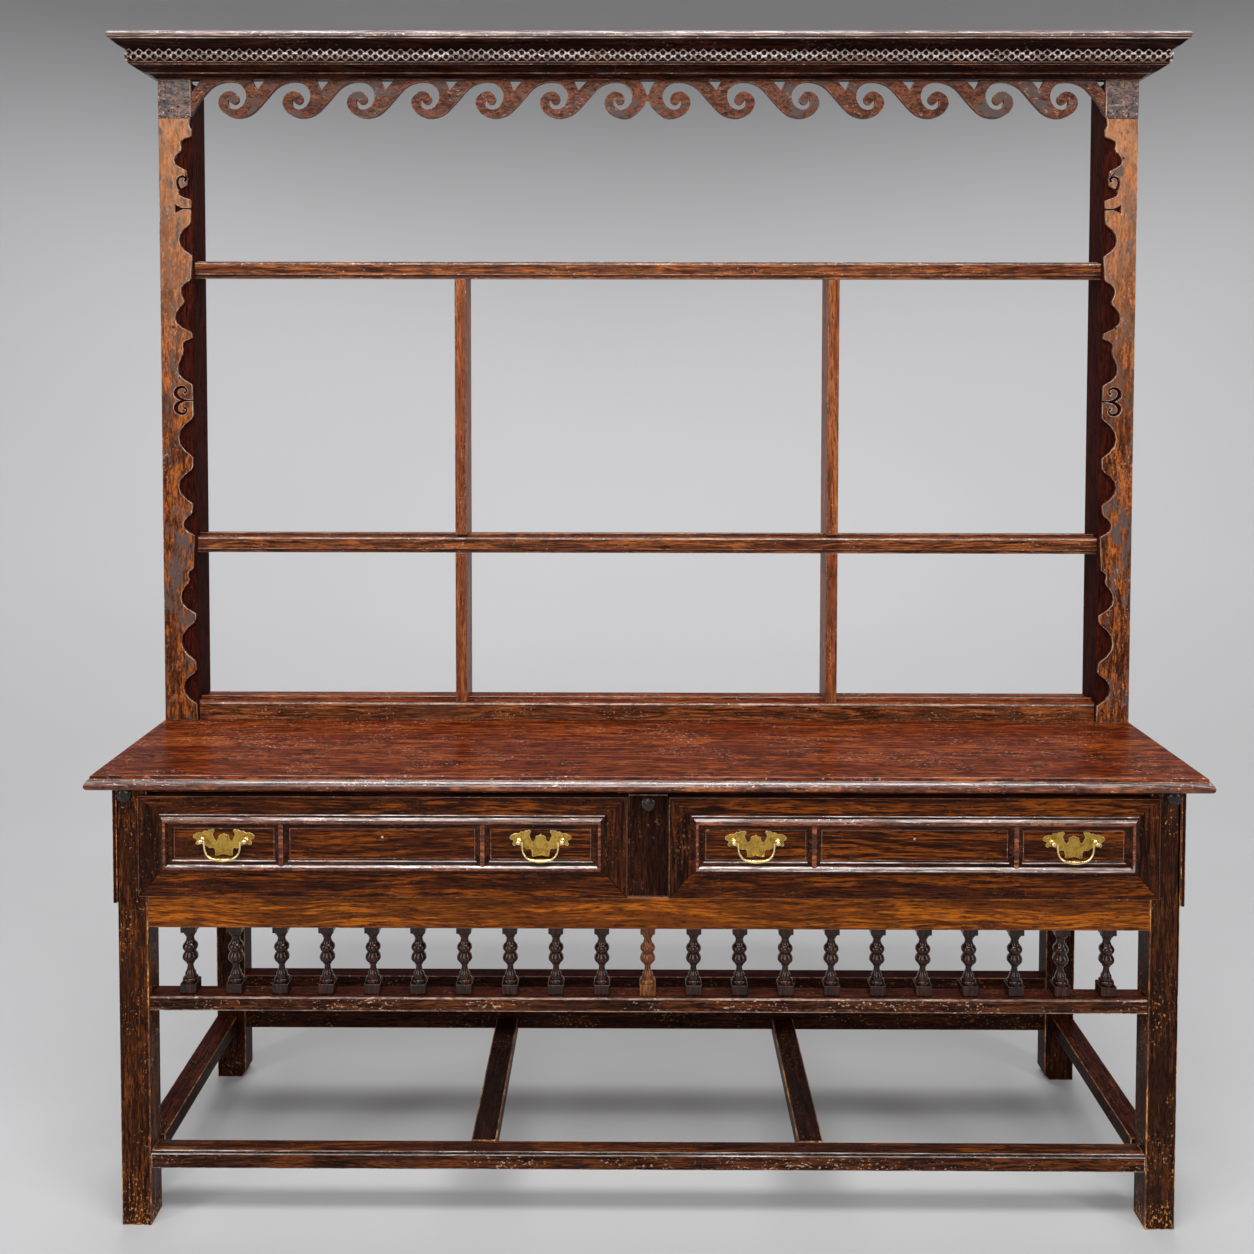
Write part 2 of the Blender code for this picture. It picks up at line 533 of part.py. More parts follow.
def build_drawer_moulding(name, drawer, half_span, mats):
    half_width = half_span - FRAME_SIDE_MARGIN
    lifted = [(inset, rise + GAP) for inset, rise in FRAME_PROFILE]
    moulding = finish(name, skin(frame_ring(lifted, half_width, FRAME_BOTTOM, FRAME_HEIGHT), closed=True),
                      mats["moulding"], drawer)
    inner = FRAME_WIDTH - FRAME_DIVIDER_LAP
    low, high = FRAME_BOTTOM + inner, FRAME_BOTTOM + FRAME_HEIGHT - inner
    half = FRAME_DIVIDER_WIDTH / 2
    bars = []
    for s in SIDES.values():
        x = s * FRAME_DIVIDER_X
        loops = []
        for rise, share in ((GAP, 1.0), (GAP + 0.3 * FRAME_DIVIDER_RISE, 1.0), (GAP + FRAME_DIVIDER_RISE, 0.35)):
            w, point = half * share, FRAME_DIVIDER_POINT * share
            loops.append([(x - w, -rise, low), (x, -rise, low - point), (x + w, -rise, low),
                          (x + w, -rise, high), (x, -rise, high + point), (x - w, -rise, high)])
        bars.append(loops)
    boolean(moulding, finish(name + "_bars", join_loops(bars), mats["moulding"], drawer), "UNION")


def build_handle(name, drawer, x, mats):
    """Back plate with its two posts under the head of its panel, and the bail with its origin on its hinge."""
    horn = max(v for _, v in PLATE_OUTLINE)
    height = FRAME_BOTTOM + FRAME_HEIGHT - FRAME_WIDTH - PLATE_HEADROOM - horn
    right = list(PLATE_OUTLINE)
    left = [(-u, v) for u, v in reversed(right[1:-1])]
    face = -GAP
    plate = prism(name + "_plate", right + left, "Y", face - PLATE_THICKNESS, face, mats["brass"], drawer,
                  (x, 0, height))
    posts = []
    for s in (-1, 1):
        centre = s * POST_SPACING / 2
        rings = [(POST_PROFILE[0][1], -0.5 * PLATE_THICKNESS)] + [(radius, rise) for rise, radius in POST_PROFILE]
        posts.append([[(centre + u, face - PLATE_THICKNESS - rise, v) for u, v in circle(radius, POST_SIDES)]
                      for radius, rise in rings])
    boolean(plate, finish(name + "_posts", join_loops(posts), mats["brass"], drawer, (x, 0, height)), "UNION")
    smooth(finish(name + "_bail", skin(bail_loops()), mats["brass"], drawer,
                  (x, face - PLATE_THICKNESS - BAIL_STANDOFF, height)))


def bail_loops():
    """Tube along the bail: pin, arm, rounded corner, bar that swells at its middle, and the same again."""
    post_radius = max(radius for _, radius in POST_PROFILE[4:6])
    pin = POST_SPACING / 2 - post_radius - BAIL_CLEARANCE
    arm = pin - BAIL_WIRE
    angles = [math.pi / 2 * i / BAIL_CORNER_STEPS for i in range(BAIL_CORNER_STEPS + 1)]
    turn = [(math.cos(a), math.sin(a)) for a in angles]
    path = [(-pin, 0.0), (-arm + BAIL_WIRE, -BAIL_WIRE)]
    path += [(-arm + BAIL_CORNER * (1 - u), -(BAIL_DROP - BAIL_CORNER) - BAIL_CORNER * v) for u, v in turn]
    flat = arm - BAIL_CORNER
    path += [(-flat + 2 * flat * i / BAIL_BAR_STEPS, -BAIL_DROP) for i in range(1, BAIL_BAR_STEPS)]
    path += [(-u, v) for u, v in reversed(path[:2 + len(turn)])]
    loops = []
    for i, (u, v) in enumerate(path):
        before, after = path[max(i - 1, 0)], path[min(i + 1, len(path) - 1)]
        along = Vector((after[0] - before[0], 0.0, after[1] - before[1])).normalized()
        if i in (0, len(path) - 1):
            along = Vector((1.0, 0.0, 0.0))
        across = Vector((-along.z, 0.0, along.x))
        swell = max(0.0, 1.0 - abs(u) / arm) if v < -0.9 * BAIL_DROP else 0.0
        radius = BAIL_WIRE + (BAIL_SWELL - BAIL_WIRE) * swell ** 0.7
        centre = Vector((u, 0.0, v))
        loops.append([tuple(centre + across * (radius * a) + Vector((0.0, min(radius, 1.3 * BAIL_WIRE) * b, 0.0)))
                      for a, b in circle(1.0, BAIL_SIDES)])
    return loops


def build_drawer(side, s, base, mats):
    name = "drawer_" + side
    slide = empty(name + "_slide", (s * DRAWER_CENTRE, back(DRAWER_FACE), DRAWER_BOTTOM), base)
    half_span = (DRAWER_OUTER_EDGE - DRAWER_INNER_EDGE) / 2
    inner_wall = MUNTIN_HALF + DRAWER_SIDE_CLEARANCE - DRAWER_CENTRE
    outer_wall = LEG_INNER - DRAWER_SIDE_CLEARANCE - DRAWER_CENTRE
    core_inner, core_outer = inner_wall + DRAWER_SIDE_THICKNESS + GAP, outer_wall - DRAWER_SIDE_THICKNESS - GAP
    lip, core = DRAWER_LIP_THICKNESS, DRAWER_LIP_THICKNESS + DRAWER_CORE_THICKNESS
    outline = [(-s * half_span, 0), (s * half_span, 0), (s * half_span, lip), (s * core_outer, lip),
               (s * core_outer, core), (s * core_inner, core), (s * core_inner, lip), (-s * half_span, lip)]
    prism(name + "_front", outline, "Z", 0.0, DRAWER_HEIGHT, mats["drawer"], slide)
    end = BACK_BOARD_FACE - DRAWER_END_GAP - DRAWER_FACE
    side_heights = (0.0, DRAWER_HEIGHT - DRAWER_SIDE_DROP)
    walls = (("inner", inner_wall, core_inner - GAP), ("outer", outer_wall, core_outer + GAP))
    for label, wall, core_edge in walls:
        board(name + "_side_" + label, sorted((s * wall, s * core_edge)), (lip + GAP, end), side_heights,
              mats["inside"], slide)
    within = sorted((s * core_inner, s * core_outer))
    bottom = (DRAWER_BOTTOM_LIFT, DRAWER_BOTTOM_LIFT + DRAWER_BOTTOM_THICKNESS)
    board(name + "_bottom", within, (core + GAP, end), bottom, mats["inside"], slide)
    board(name + "_back", within, (end - DRAWER_SIDE_THICKNESS, end),
          (bottom[1] + GAP, DRAWER_HEIGHT - DRAWER_BACK_DROP), mats["inside"], slide)
    build_drawer_moulding(name + "_moulding", slide, half_span, mats)
    panel_inner = FRAME_DIVIDER_X + FRAME_DIVIDER_WIDTH / 2
    panel_outer = half_span - FRAME_SIDE_MARGIN - FRAME_WIDTH
    for label, t in SIDES.items():
        build_handle(name + "_handle_" + label, slide, t * (panel_inner + panel_outer) / 2, mats)


def shelf_profile(top, lip_bottom, recessed):
    """Side view of a shelf from its front arris, with the plate bead and, where it is recessed, the quirked lip."""
    rear = SHELF_FRONT + RACK_DEPTH
    bead = SHELF_FRONT + PLATE_BEAD_SETBACK
    profile = [(SHELF_FRONT, top - SHELF_ARRIS), (SHELF_FRONT + SHELF_ARRIS, top), (bead, top),
               (bead, top + PLATE_BEAD_HEIGHT), (bead + PLATE_BEAD_WIDTH, top + PLATE_BEAD_HEIGHT),
               (bead + PLATE_BEAD_WIDTH, top), (rear, top)]
    if not recessed:
        return profile + [(rear, lip_bottom), (SHELF_FRONT, lip_bottom)]
    quirk = SHELF_FRONT + SHELF_LIP_QUIRK
    under, lip_back = top - SHELF_THICKNESS, SHELF_FRONT + SHELF_LIP_DEPTH
    return profile + [(rear, under), (lip_back, under), (lip_back, lip_bottom), (quirk, lip_bottom),
                      (quirk, lip_bottom + SHELF_LIP_QUIRK), (SHELF_FRONT, lip_bottom + 1.6 * SHELF_LIP_QUIRK)]


def build_shelves(rack, mats):
    span = RACK_POST_INNER - GAP
    for name, top, bottom, recessed in (
            ("rack_shelf_bottom", BOTTOM_SHELF_HEIGHT, GAP, False),
            ("rack_shelf_middle", MIDDLE_SHELF_TOP, MIDDLE_SHELF_TOP - SHELF_LIP_HEIGHT, True),
            ("rack_shelf_top", TOP_SHELF_TOP, TOP_SHELF_TOP - SHELF_LIP_HEIGHT, True)):
        shelf = prism(name, shelf_profile(top, bottom, recessed), "X", -span, span, mats["shelf"], rack)
        if name != "rack_shelf_middle":
            continue
        halfway = SHELF_FRONT + RACK_DEPTH / 2
        reach = DIVIDER_THICKNESS / 2 + GAP
        slots = [[[(s * DIVIDER_X + u * reach, y, top + w) for y, w in
                   ((halfway, -SHELF_THICKNESS - 0.01), (RACK_BACK + 0.01, -SHELF_THICKNESS - 0.01),
                    (RACK_BACK + 0.01, 0.01), (halfway, 0.01))] for u in (-1, 1)] for s in SIDES.values()]
        boolean(shelf, finish("middle_shelf_slots", join_loops(slots), mats["shelf"], rack), "DIFFERENCE")


def build_dividers(rack, mats):
    """Uprights halved into the middle shelf: the shelf runs through in front, the upright behind."""
    front, rear = SHELF_FRONT + DIVIDER_SETBACK, RACK_BACK
    halfway = SHELF_FRONT + RACK_DEPTH / 2 + GAP
    foot, head = BOTTOM_SHELF_HEIGHT, TOP_SHELF_TOP - SHELF_THICKNESS - GAP
    lip_back = SHELF_FRONT + SHELF_LIP_DEPTH + GAP
    lip_foot = TOP_SHELF_TOP - SHELF_LIP_HEIGHT - GAP
    slot_low = MIDDLE_SHELF_TOP - SHELF_LIP_HEIGHT - GAP
    slot_high = MIDDLE_SHELF_TOP + PLATE_BEAD_HEIGHT + GAP
    bead = SHELF_FRONT + PLATE_BEAD_SETBACK
    seat, step = foot + GAP, foot + PLATE_BEAD_HEIGHT + GAP
    outline = [(front, seat), (bead - GAP, seat), (bead - GAP, step), (bead + PLATE_BEAD_WIDTH + GAP, step),
               (bead + PLATE_BEAD_WIDTH + GAP, seat), (rear, seat), (rear, head), (lip_back, head),
               (lip_back, lip_foot), (front, lip_foot), (front, slot_high), (halfway, slot_high),
               (halfway, slot_low), (front, slot_low)]
    for side, s in SIDES.items():
        middle = s * DIVIDER_X
        prism("rack_divider_" + side, outline, "X", middle - DIVIDER_THICKNESS / 2, middle + DIVIDER_THICKNESS / 2,
              mats["rack_inside"], rack)


def fret_edge(stretch):
    """Inner edge of a pilaster from foot to head, as inset from its straight line and height."""
    edge = [(0.0, GAP)]
    for foot, foot_inset, head, head_inset, depth in FRET_BAYS:
        if edge[-1] != (foot_inset, foot * stretch):
            edge.append((foot_inset, foot * stretch))
        for share, hollow in BAY_HOLLOW:
            rim = foot_inset + (head_inset - foot_inset) * share
            edge.append((rim + (depth - rim) * hollow, (foot + (head - foot) * share) * stretch))
        edge.append((head_inset, head * stretch))
    return edge


def over_bay(bay, stretch):
    """Height of the middle of the gap between a bay and the next one."""
    return stretch * (FRET_BAYS[bay][2] + FRET_BAYS[bay + 1][0]) / 2


def slot_outline(path, height, flip=1):
    """Outline of a slot of changing width along a path."""
    outer, inner = [], []
    for i, (inset, rise, half) in enumerate(path):
        before, after = path[max(i - 1, 0)], path[min(i + 1, len(path) - 1)]
        along = Vector((after[0] - before[0], after[1] - before[1])).normalized()
        outer.append((inset - along.y * half, height + flip * (rise + along.x * half)))
        inner.append((inset + along.y * half, height + flip * (rise - along.x * half)))
    return outer + inner[::-1]


def build_pilasters(rack, mats):
    height = RACK_HEIGHT - BLOCK_HEIGHT
    stretch = height / (FRET_BAYS[-1][2] + FRET_END)
    paired, single = smooth_curve(PAIRED_VOLUTE, CURVE_STEPS), smooth_curve(SINGLE_VOLUTE, CURVE_STEPS)
    middle = over_bay(PAIRED_VOLUTE_BAY, stretch)
    slots = {
        "upper_volute": slot_outline(paired, middle),
        "lower_volute": slot_outline(paired, middle, -1),
        "single_volute": slot_outline(single, over_bay(SINGLE_VOLUTE_BAY, stretch) + SINGLE_VOLUTE_SHIFT),
        "arrow": slot_outline(ARROW_SLOT, over_bay(ARROW_SLOT_BAY, stretch) + ARROW_SLOT_SHIFT),
    }
    for side, s in SIDES.items():
        outline = [(s * (PILASTER_INNER + inset), z) for inset, z in fret_edge(stretch)]
        outline += [(s * PILASTER_INNER, height), (s * RACK_HALF_WIDTH, height), (s * RACK_HALF_WIDTH, GAP)]
        pilaster = prism("fret_pilaster_" + side, outline, "Y", 0.0, FRET_THICKNESS, mats["pilaster"], rack)
        edges = sorted((s * PILASTER_INNER, s * RACK_HALF_WIDTH))
        block = board("fret_block_" + side, edges, (-BLOCK_PROUD, FRET_THICKNESS),
                      (height - BLOCK_LAP, RACK_HEIGHT - GAP), mats["pilaster"], rack)
        boolean(pilaster, block, "UNION")
        for name, slot in slots.items():
            shape = [(s * (PILASTER_INNER + inset), z) for inset, z in slot]
            cutter = prism(name + "_" + side, shape, "Y", -FRET_THICKNESS, 2 * FRET_THICKNESS,
                           mats["pilaster"], rack)
            boolean(pilaster, cutter, "DIFFERENCE")
        board("pilaster_backing_" + side, edges, (FRET_THICKNESS + GAP, SHELF_FRONT - GAP),
              (GAP, RACK_HEIGHT - GAP), mats["rack_inside"], rack)
        edges = sorted((s * RACK_POST_INNER, s * RACK_HALF_WIDTH))
        board("rack_post_" + side, edges, (SHELF_FRONT, RACK_BACK), (GAP, RACK_HEIGHT - GAP),
              mats["rack_inside"], rack)


def frieze_half():
    """Outline of the left half of the frieze, from the pilaster along its lower edge to the middle and back on top."""
    length = PILASTER_INNER - GAP
    pitch = (length - FIRST_SCROLL - END_SCROLL) / (SCROLLS_PER_SIDE - 1)
    top = SCROLL_EYE_DROP - GAP
    eyes = [-(FIRST_SCROLL + pitch * i) for i in reversed(range(SCROLLS_PER_SIDE))]

    def at(eye, points):
        return [(eye + u, top if v is None else v) for u, v in points]

    lower = [(-length, END_PIECE_BOTTOM)]
    rising = [lower[0]] + at(eyes[0], END_PIECE_CURVE)
    for eye, following in zip(eyes, eyes[1:] + [None]):
        lower += smooth_curve(rising + at(eye, SCROLL_GAP_OUTER) + [(eye + SCROLL_NOTCH[0], SCROLL_NOTCH[1])],
                              CURVE_STEPS)[1:]
        rising = [lower[-1]] + at(eye, SCROLL_BODY)
        if following is not None:
            rising += at(following, SCROLL_ARM)
    lower += smooth_curve(rising[:-1] + at(eyes[-1], MIDDLE_SCROLL_CLOSING), CURVE_STEPS)[1:]
    lower.append((0.0, MIDDLE_NECK[0]))
    upper = [(-length, END_PIECE_TOP), (eyes[0] - END_PIECE_RUN, top)]
    for eye in eyes[:-1]:
        upper += at(eye, SCROLL_WEDGE)
    upper += list(reversed(at(eyes[-1], MIDDLE_SCROLL_BACK)))
    upper.append((0.0, MIDDLE_NECK[1]))
    return lower, upper


def build_frieze(rack, mats):
    lower, upper = frieze_half()
    eye = RACK_HEIGHT - SCROLL_EYE_DROP
    outline = lower + [(-u, v) for u, v in reversed(lower[:-1])]
    outline += [(-u, v) for u, v in upper] + list(reversed(upper[:-1]))
    outline = [(u, v + eye) for u, v in outline]
    prism("scroll_frieze", outline, "Y", FRIEZE_SETBACK, FRIEZE_SETBACK + FRIEZE_THICKNESS, mats["pilaster"], rack)


def build_cornice(rack, mats):
    foot = RACK_HEIGHT
    outer = [(projection, foot + rise) for projection, rise in CORNICE_PROFILE]
    section = outer + [(-CORNICE_WALL, outer[-1][1]), (-CORNICE_WALL, foot)]

    def corner(s, across, behind):
        return [(s * (RACK_HALF_WIDTH + p - across), -p + behind, z) for p, z in section]

    smooth(finish("cornice_front", skin([corner(-1, GAP, 0.0), corner(1, GAP, 0.0)]), mats["cornice"], rack), 30)
    for side, s in SIDES.items():
        rear = [(s * (RACK_HALF_WIDTH + p), RACK_BACK, z) for p, z in section]
        smooth(finish("cornice_return_" + side, skin([corner(s, 0.0, GAP), rear]), mats["cornice"], rack), 30)
    within = RACK_HALF_WIDTH - CORNICE_WALL - GAP
    lift = foot + DUST_BOARD_LIFT
    board("dust_board", (-within, within), (CORNICE_WALL + GAP, RACK_BACK), (lift, lift + DUST_BOARD_THICKNESS),
          mats["inside"], rack)


def main():
    clear_scene()
    mats = {
        "top": material("Red-brown polished oak", (0.105, 0.028, 0.014), 0.28),
        "leg": material("Dark worn oak", (0.060, 0.026, 0.011), 0.45),
        "rail": material("Orange-brown oak", (0.150, 0.060, 0.020), 0.50),
        "end": material("Brown oak", (0.075, 0.034, 0.015), 0.48),
        "dark": material("Shadowed oak", (0.020, 0.011, 0.007), 0.60),
        "inside": material("Dry unfinished oak", (0.210, 0.130, 0.065), 0.70),
        "spindle": material("Turned oak", (0.105, 0.045, 0.018), 0.42),
        "drawer": material("Dark polished oak", (0.070, 0.025, 0.011), 0.30),
        "moulding": material("Polished moulding oak", (0.085, 0.032, 0.018), 0.24),
        "brass": material("Aged brass", (0.560, 0.390, 0.120), 0.28, 1.0),
        "shelf": material("Rubbed shelf oak", (0.120, 0.048, 0.022), 0.38),
        "rack_inside": material("Deep red oak", (0.055, 0.016, 0.010), 0.45),
        "pilaster": material("Grey-brown oak", (0.180, 0.082, 0.038), 0.55),
        "cornice": material("Blackened oak", (0.050, 0.018, 0.009), 0.40),
    }
    base = empty("base", (0, 0, 0))
    build_legs(base, mats)
    build_top(base, mats)
    build_rails(base, mats)
    build_case(base, mats)
    build_stretchers(base, mats)
    build_gallery(base, mats)
    for side, s in SIDES.items():
        build_drawer(side, s, base, mats)
    rack = empty("rack", (0, back(RACK_FRONT), TOP_HEIGHT), base)
    build_pilasters(rack, mats)
    build_shelves(rack, mats)
    build_dividers(rack, mats)
    build_frieze(rack, mats)
    build_cornice(rack, mats)


main()
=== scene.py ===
"""Looks of an old oak dresser: worn boards, turned spindles, carved cornice and brass handles."""

import json
import logging
import math
from collections.abc import Callable, Iterator, Sequence
from contextlib import contextmanager
from dataclasses import dataclass, replace
from enum import Enum

import bmesh
import bpy
from mathutils import Matrix, Vector

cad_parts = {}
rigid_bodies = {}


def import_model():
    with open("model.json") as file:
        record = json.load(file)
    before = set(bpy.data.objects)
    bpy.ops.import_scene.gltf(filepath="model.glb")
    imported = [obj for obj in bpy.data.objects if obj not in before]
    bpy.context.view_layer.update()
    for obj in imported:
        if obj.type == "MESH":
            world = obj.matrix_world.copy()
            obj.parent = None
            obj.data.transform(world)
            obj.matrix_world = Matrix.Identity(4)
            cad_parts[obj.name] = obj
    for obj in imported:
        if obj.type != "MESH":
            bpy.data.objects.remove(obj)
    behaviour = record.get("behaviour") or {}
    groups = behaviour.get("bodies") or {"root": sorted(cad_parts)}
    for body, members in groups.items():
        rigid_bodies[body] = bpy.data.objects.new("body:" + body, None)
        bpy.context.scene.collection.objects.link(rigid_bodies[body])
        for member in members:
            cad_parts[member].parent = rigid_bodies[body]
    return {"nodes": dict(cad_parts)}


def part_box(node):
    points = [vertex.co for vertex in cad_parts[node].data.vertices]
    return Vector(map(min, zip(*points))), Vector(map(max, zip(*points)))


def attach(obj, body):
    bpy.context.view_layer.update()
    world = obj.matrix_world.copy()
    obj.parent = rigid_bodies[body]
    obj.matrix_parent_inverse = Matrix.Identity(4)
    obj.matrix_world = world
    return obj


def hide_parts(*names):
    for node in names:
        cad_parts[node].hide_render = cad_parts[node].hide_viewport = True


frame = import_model()

log = logging.getLogger("dresser")

Colour = tuple[float, float, float]
Point = tuple[float, float, float]
Rings = Sequence[tuple[float, float]]
Box = Sequence[Vector]
SIDES = {"left": -1, "right": 1}
FORWARDS = Vector((0.0, -1.0, 0.0))
UPWARDS = Vector((0.0, 0.0, 1.0))
RIGHT_ANGLE = math.pi / 2
# A face's normal along an axis is over the first number if the face is square to it, over the second if it
# slopes, and under the third if it lies along it
SQUARE, SLOPING, ALONG = 0.95, 0.3, 0.2
# Places of the finishes of a worn copy's body and arrises
BODY, ARRIS = 0, 1


class Axis(Enum):
    """Direction that a board's grain runs in."""

    ACROSS = 0
    BACK = 1
    UP = 2


# Materials


class Value:
    """A number in a material. Working with it adds Math nodes."""

    def __init__(self, graph: "Graph", socket: bpy.types.NodeSocket) -> None:
        """Wraps the socket that gives the number."""
        self.graph = graph
        self.socket = socket

    def _work(self, operation: str, first: object, second: object) -> "Value":
        """Adds one Math node."""
        node = self.graph.add("ShaderNodeMath", {"operation": operation}, {0: first, 1: second})
        return Value(self.graph, node.outputs[0])

    def __add__(self, other: object) -> "Value":
        """Adds."""
        return self._work("ADD", self, other)

    def __radd__(self, other: object) -> "Value":
        """Adds, from the right."""
        return self._work("ADD", other, self)

    def __sub__(self, other: object) -> "Value":
        """Subtracts."""
        return self._work("SUBTRACT", self, other)

    def __rsub__(self, other: object) -> "Value":
        """Subtracts from a number."""
        return self._work("SUBTRACT", other, self)

    def __mul__(self, other: object) -> "Value":
        """Multiplies."""
        return self._work("MULTIPLY", self, other)

    def __rmul__(self, other: object) -> "Value":
        """Multiplies, from the right."""
        return self._work("MULTIPLY", other, self)

    def step(self, low: float, high: float) -> "Value":
        """Rises smoothly from 0 to 1 between two numbers."""
        node = self.graph.add("ShaderNodeMapRange", {"interpolation_type": "SMOOTHSTEP"},
                              {"Value": self, "From Min": low, "From Max": high})
        return Value(self.graph, node.outputs[0])


class Graph:
    """The nodes of one material."""

    def __init__(self, name: str) -> None:
        """Starts an empty material.

        Args:
            name: Its name.
        """
        self.material = bpy.data.materials.new(name)
        self.material.use_nodes = True
        self.tree = self.material.node_tree
        self.tree.nodes.clear()

    def add(self, kind: str, settings: dict[str, object], values: dict[str | int, object]) -> bpy.types.Node:
        """Adds a node.

        Args:
            kind: The node's type.
            settings: Its settings, which are set first.
            values: Numbers, colours or links for its sockets, by name or place.

        Returns:
            The node.
        """
        node = self.tree.nodes.new(kind)
        for name, value in settings.items():
            setattr(node, name, value)
        for key, value in values.items():
            if isinstance(value, Value):
                value = value.socket
            if isinstance(value, bpy.types.NodeSocket):
                self.tree.links.new(value, node.inputs[key])
            else:
                node.inputs[key].default_value = value
        return node

    def place(self) -> bpy.types.NodeSocket:
        """Gives the point on the object."""
        return self.add("ShaderNodeTexCoord", {}, {}).outputs["Object"]

    def noise(self, place: bpy.types.NodeSocket, scale: Sequence[float], detail: float,
              roughness: float = 0.5, seed: float = 0.0) -> Value:
        """Adds noise that may run finer in one direction than in another.

        Args:
            place: The point that it is read at.
            scale: How many waves there are in a metre along X, Y and Z.
            detail: Octaves.
            roughness: Strength of each finer octave.
            seed: Shift that makes the pattern another one.

        Returns:
            The noise, mostly between 0.3 and 0.7.
        """
        spread = self.add("ShaderNodeMapping", {}, {
            "Vector": place, "Scale": tuple(scale), "Location": (seed, 1.7 * seed, 2.3 * seed)})
        node = self.add("ShaderNodeTexNoise", {}, {
            "Vector": spread.outputs[0], "Scale": 1.0, "Detail": detail, "Roughness": roughness})
        return Value(self, node.outputs[0])

    def mix(self, first: object, second: object, share: object) -> bpy.types.NodeSocket:
        """Mixes two colours.

        Args:
            first: Colour where the share is 0.
            second: Colour where it is 1.
            share: The share.

        Returns:
            The mixed colour.
        """
        first, second = ((*c, 1.0) if isinstance(c, tuple) else c for c in (first, second))
        return self.add("ShaderNodeMix", {"data_type": "RGBA"}, {0: share, 6: first, 7: second}).outputs[2]

    def close(self, values: dict[str, object], height: Value, depth: float) -> bpy.types.Material:
        """Adds the shader with its bump and the output.

        Args:
            values: Values of the shader's sockets.
            height: Relief, from 0 to 1.
            depth: Depth of the relief in metres.

        Returns:
            The finished material.
        """
        bump = self.add("ShaderNodeBump", {}, {"Strength": 1.0, "Distance": depth, "Height": height})
        shader = self.add("ShaderNodeBsdfPrincipled", {}, {**values, "Normal": bump.outputs[0]})
        self.add("ShaderNodeOutputMaterial", {}, {"Surface": shader.outputs[0]})
        return self.material


def shade(colour: Colour, share: float) -> Colour:
    """Darkens a colour to a share of its light."""
    return tuple(share * channel for channel in colour)


@dataclass(frozen=True)
class Finish:
    """A finish, made when it is first used."""

    name: str

    def material(self, grain: Axis | None = None) -> bpy.types.Material:
        """Gives the finish, with its grain in this direction if it has a grain."""
        name = self.name if grain is None else f"{self.name}_{grain.name.lower()}"
        return bpy.data.materials.get(name) or self.make(Graph(name), grain)

    def make(self, graph: Graph, grain: Axis | None) -> bpy.types.Material:
        """Builds the nodes of the finish."""
        raise NotImplementedError


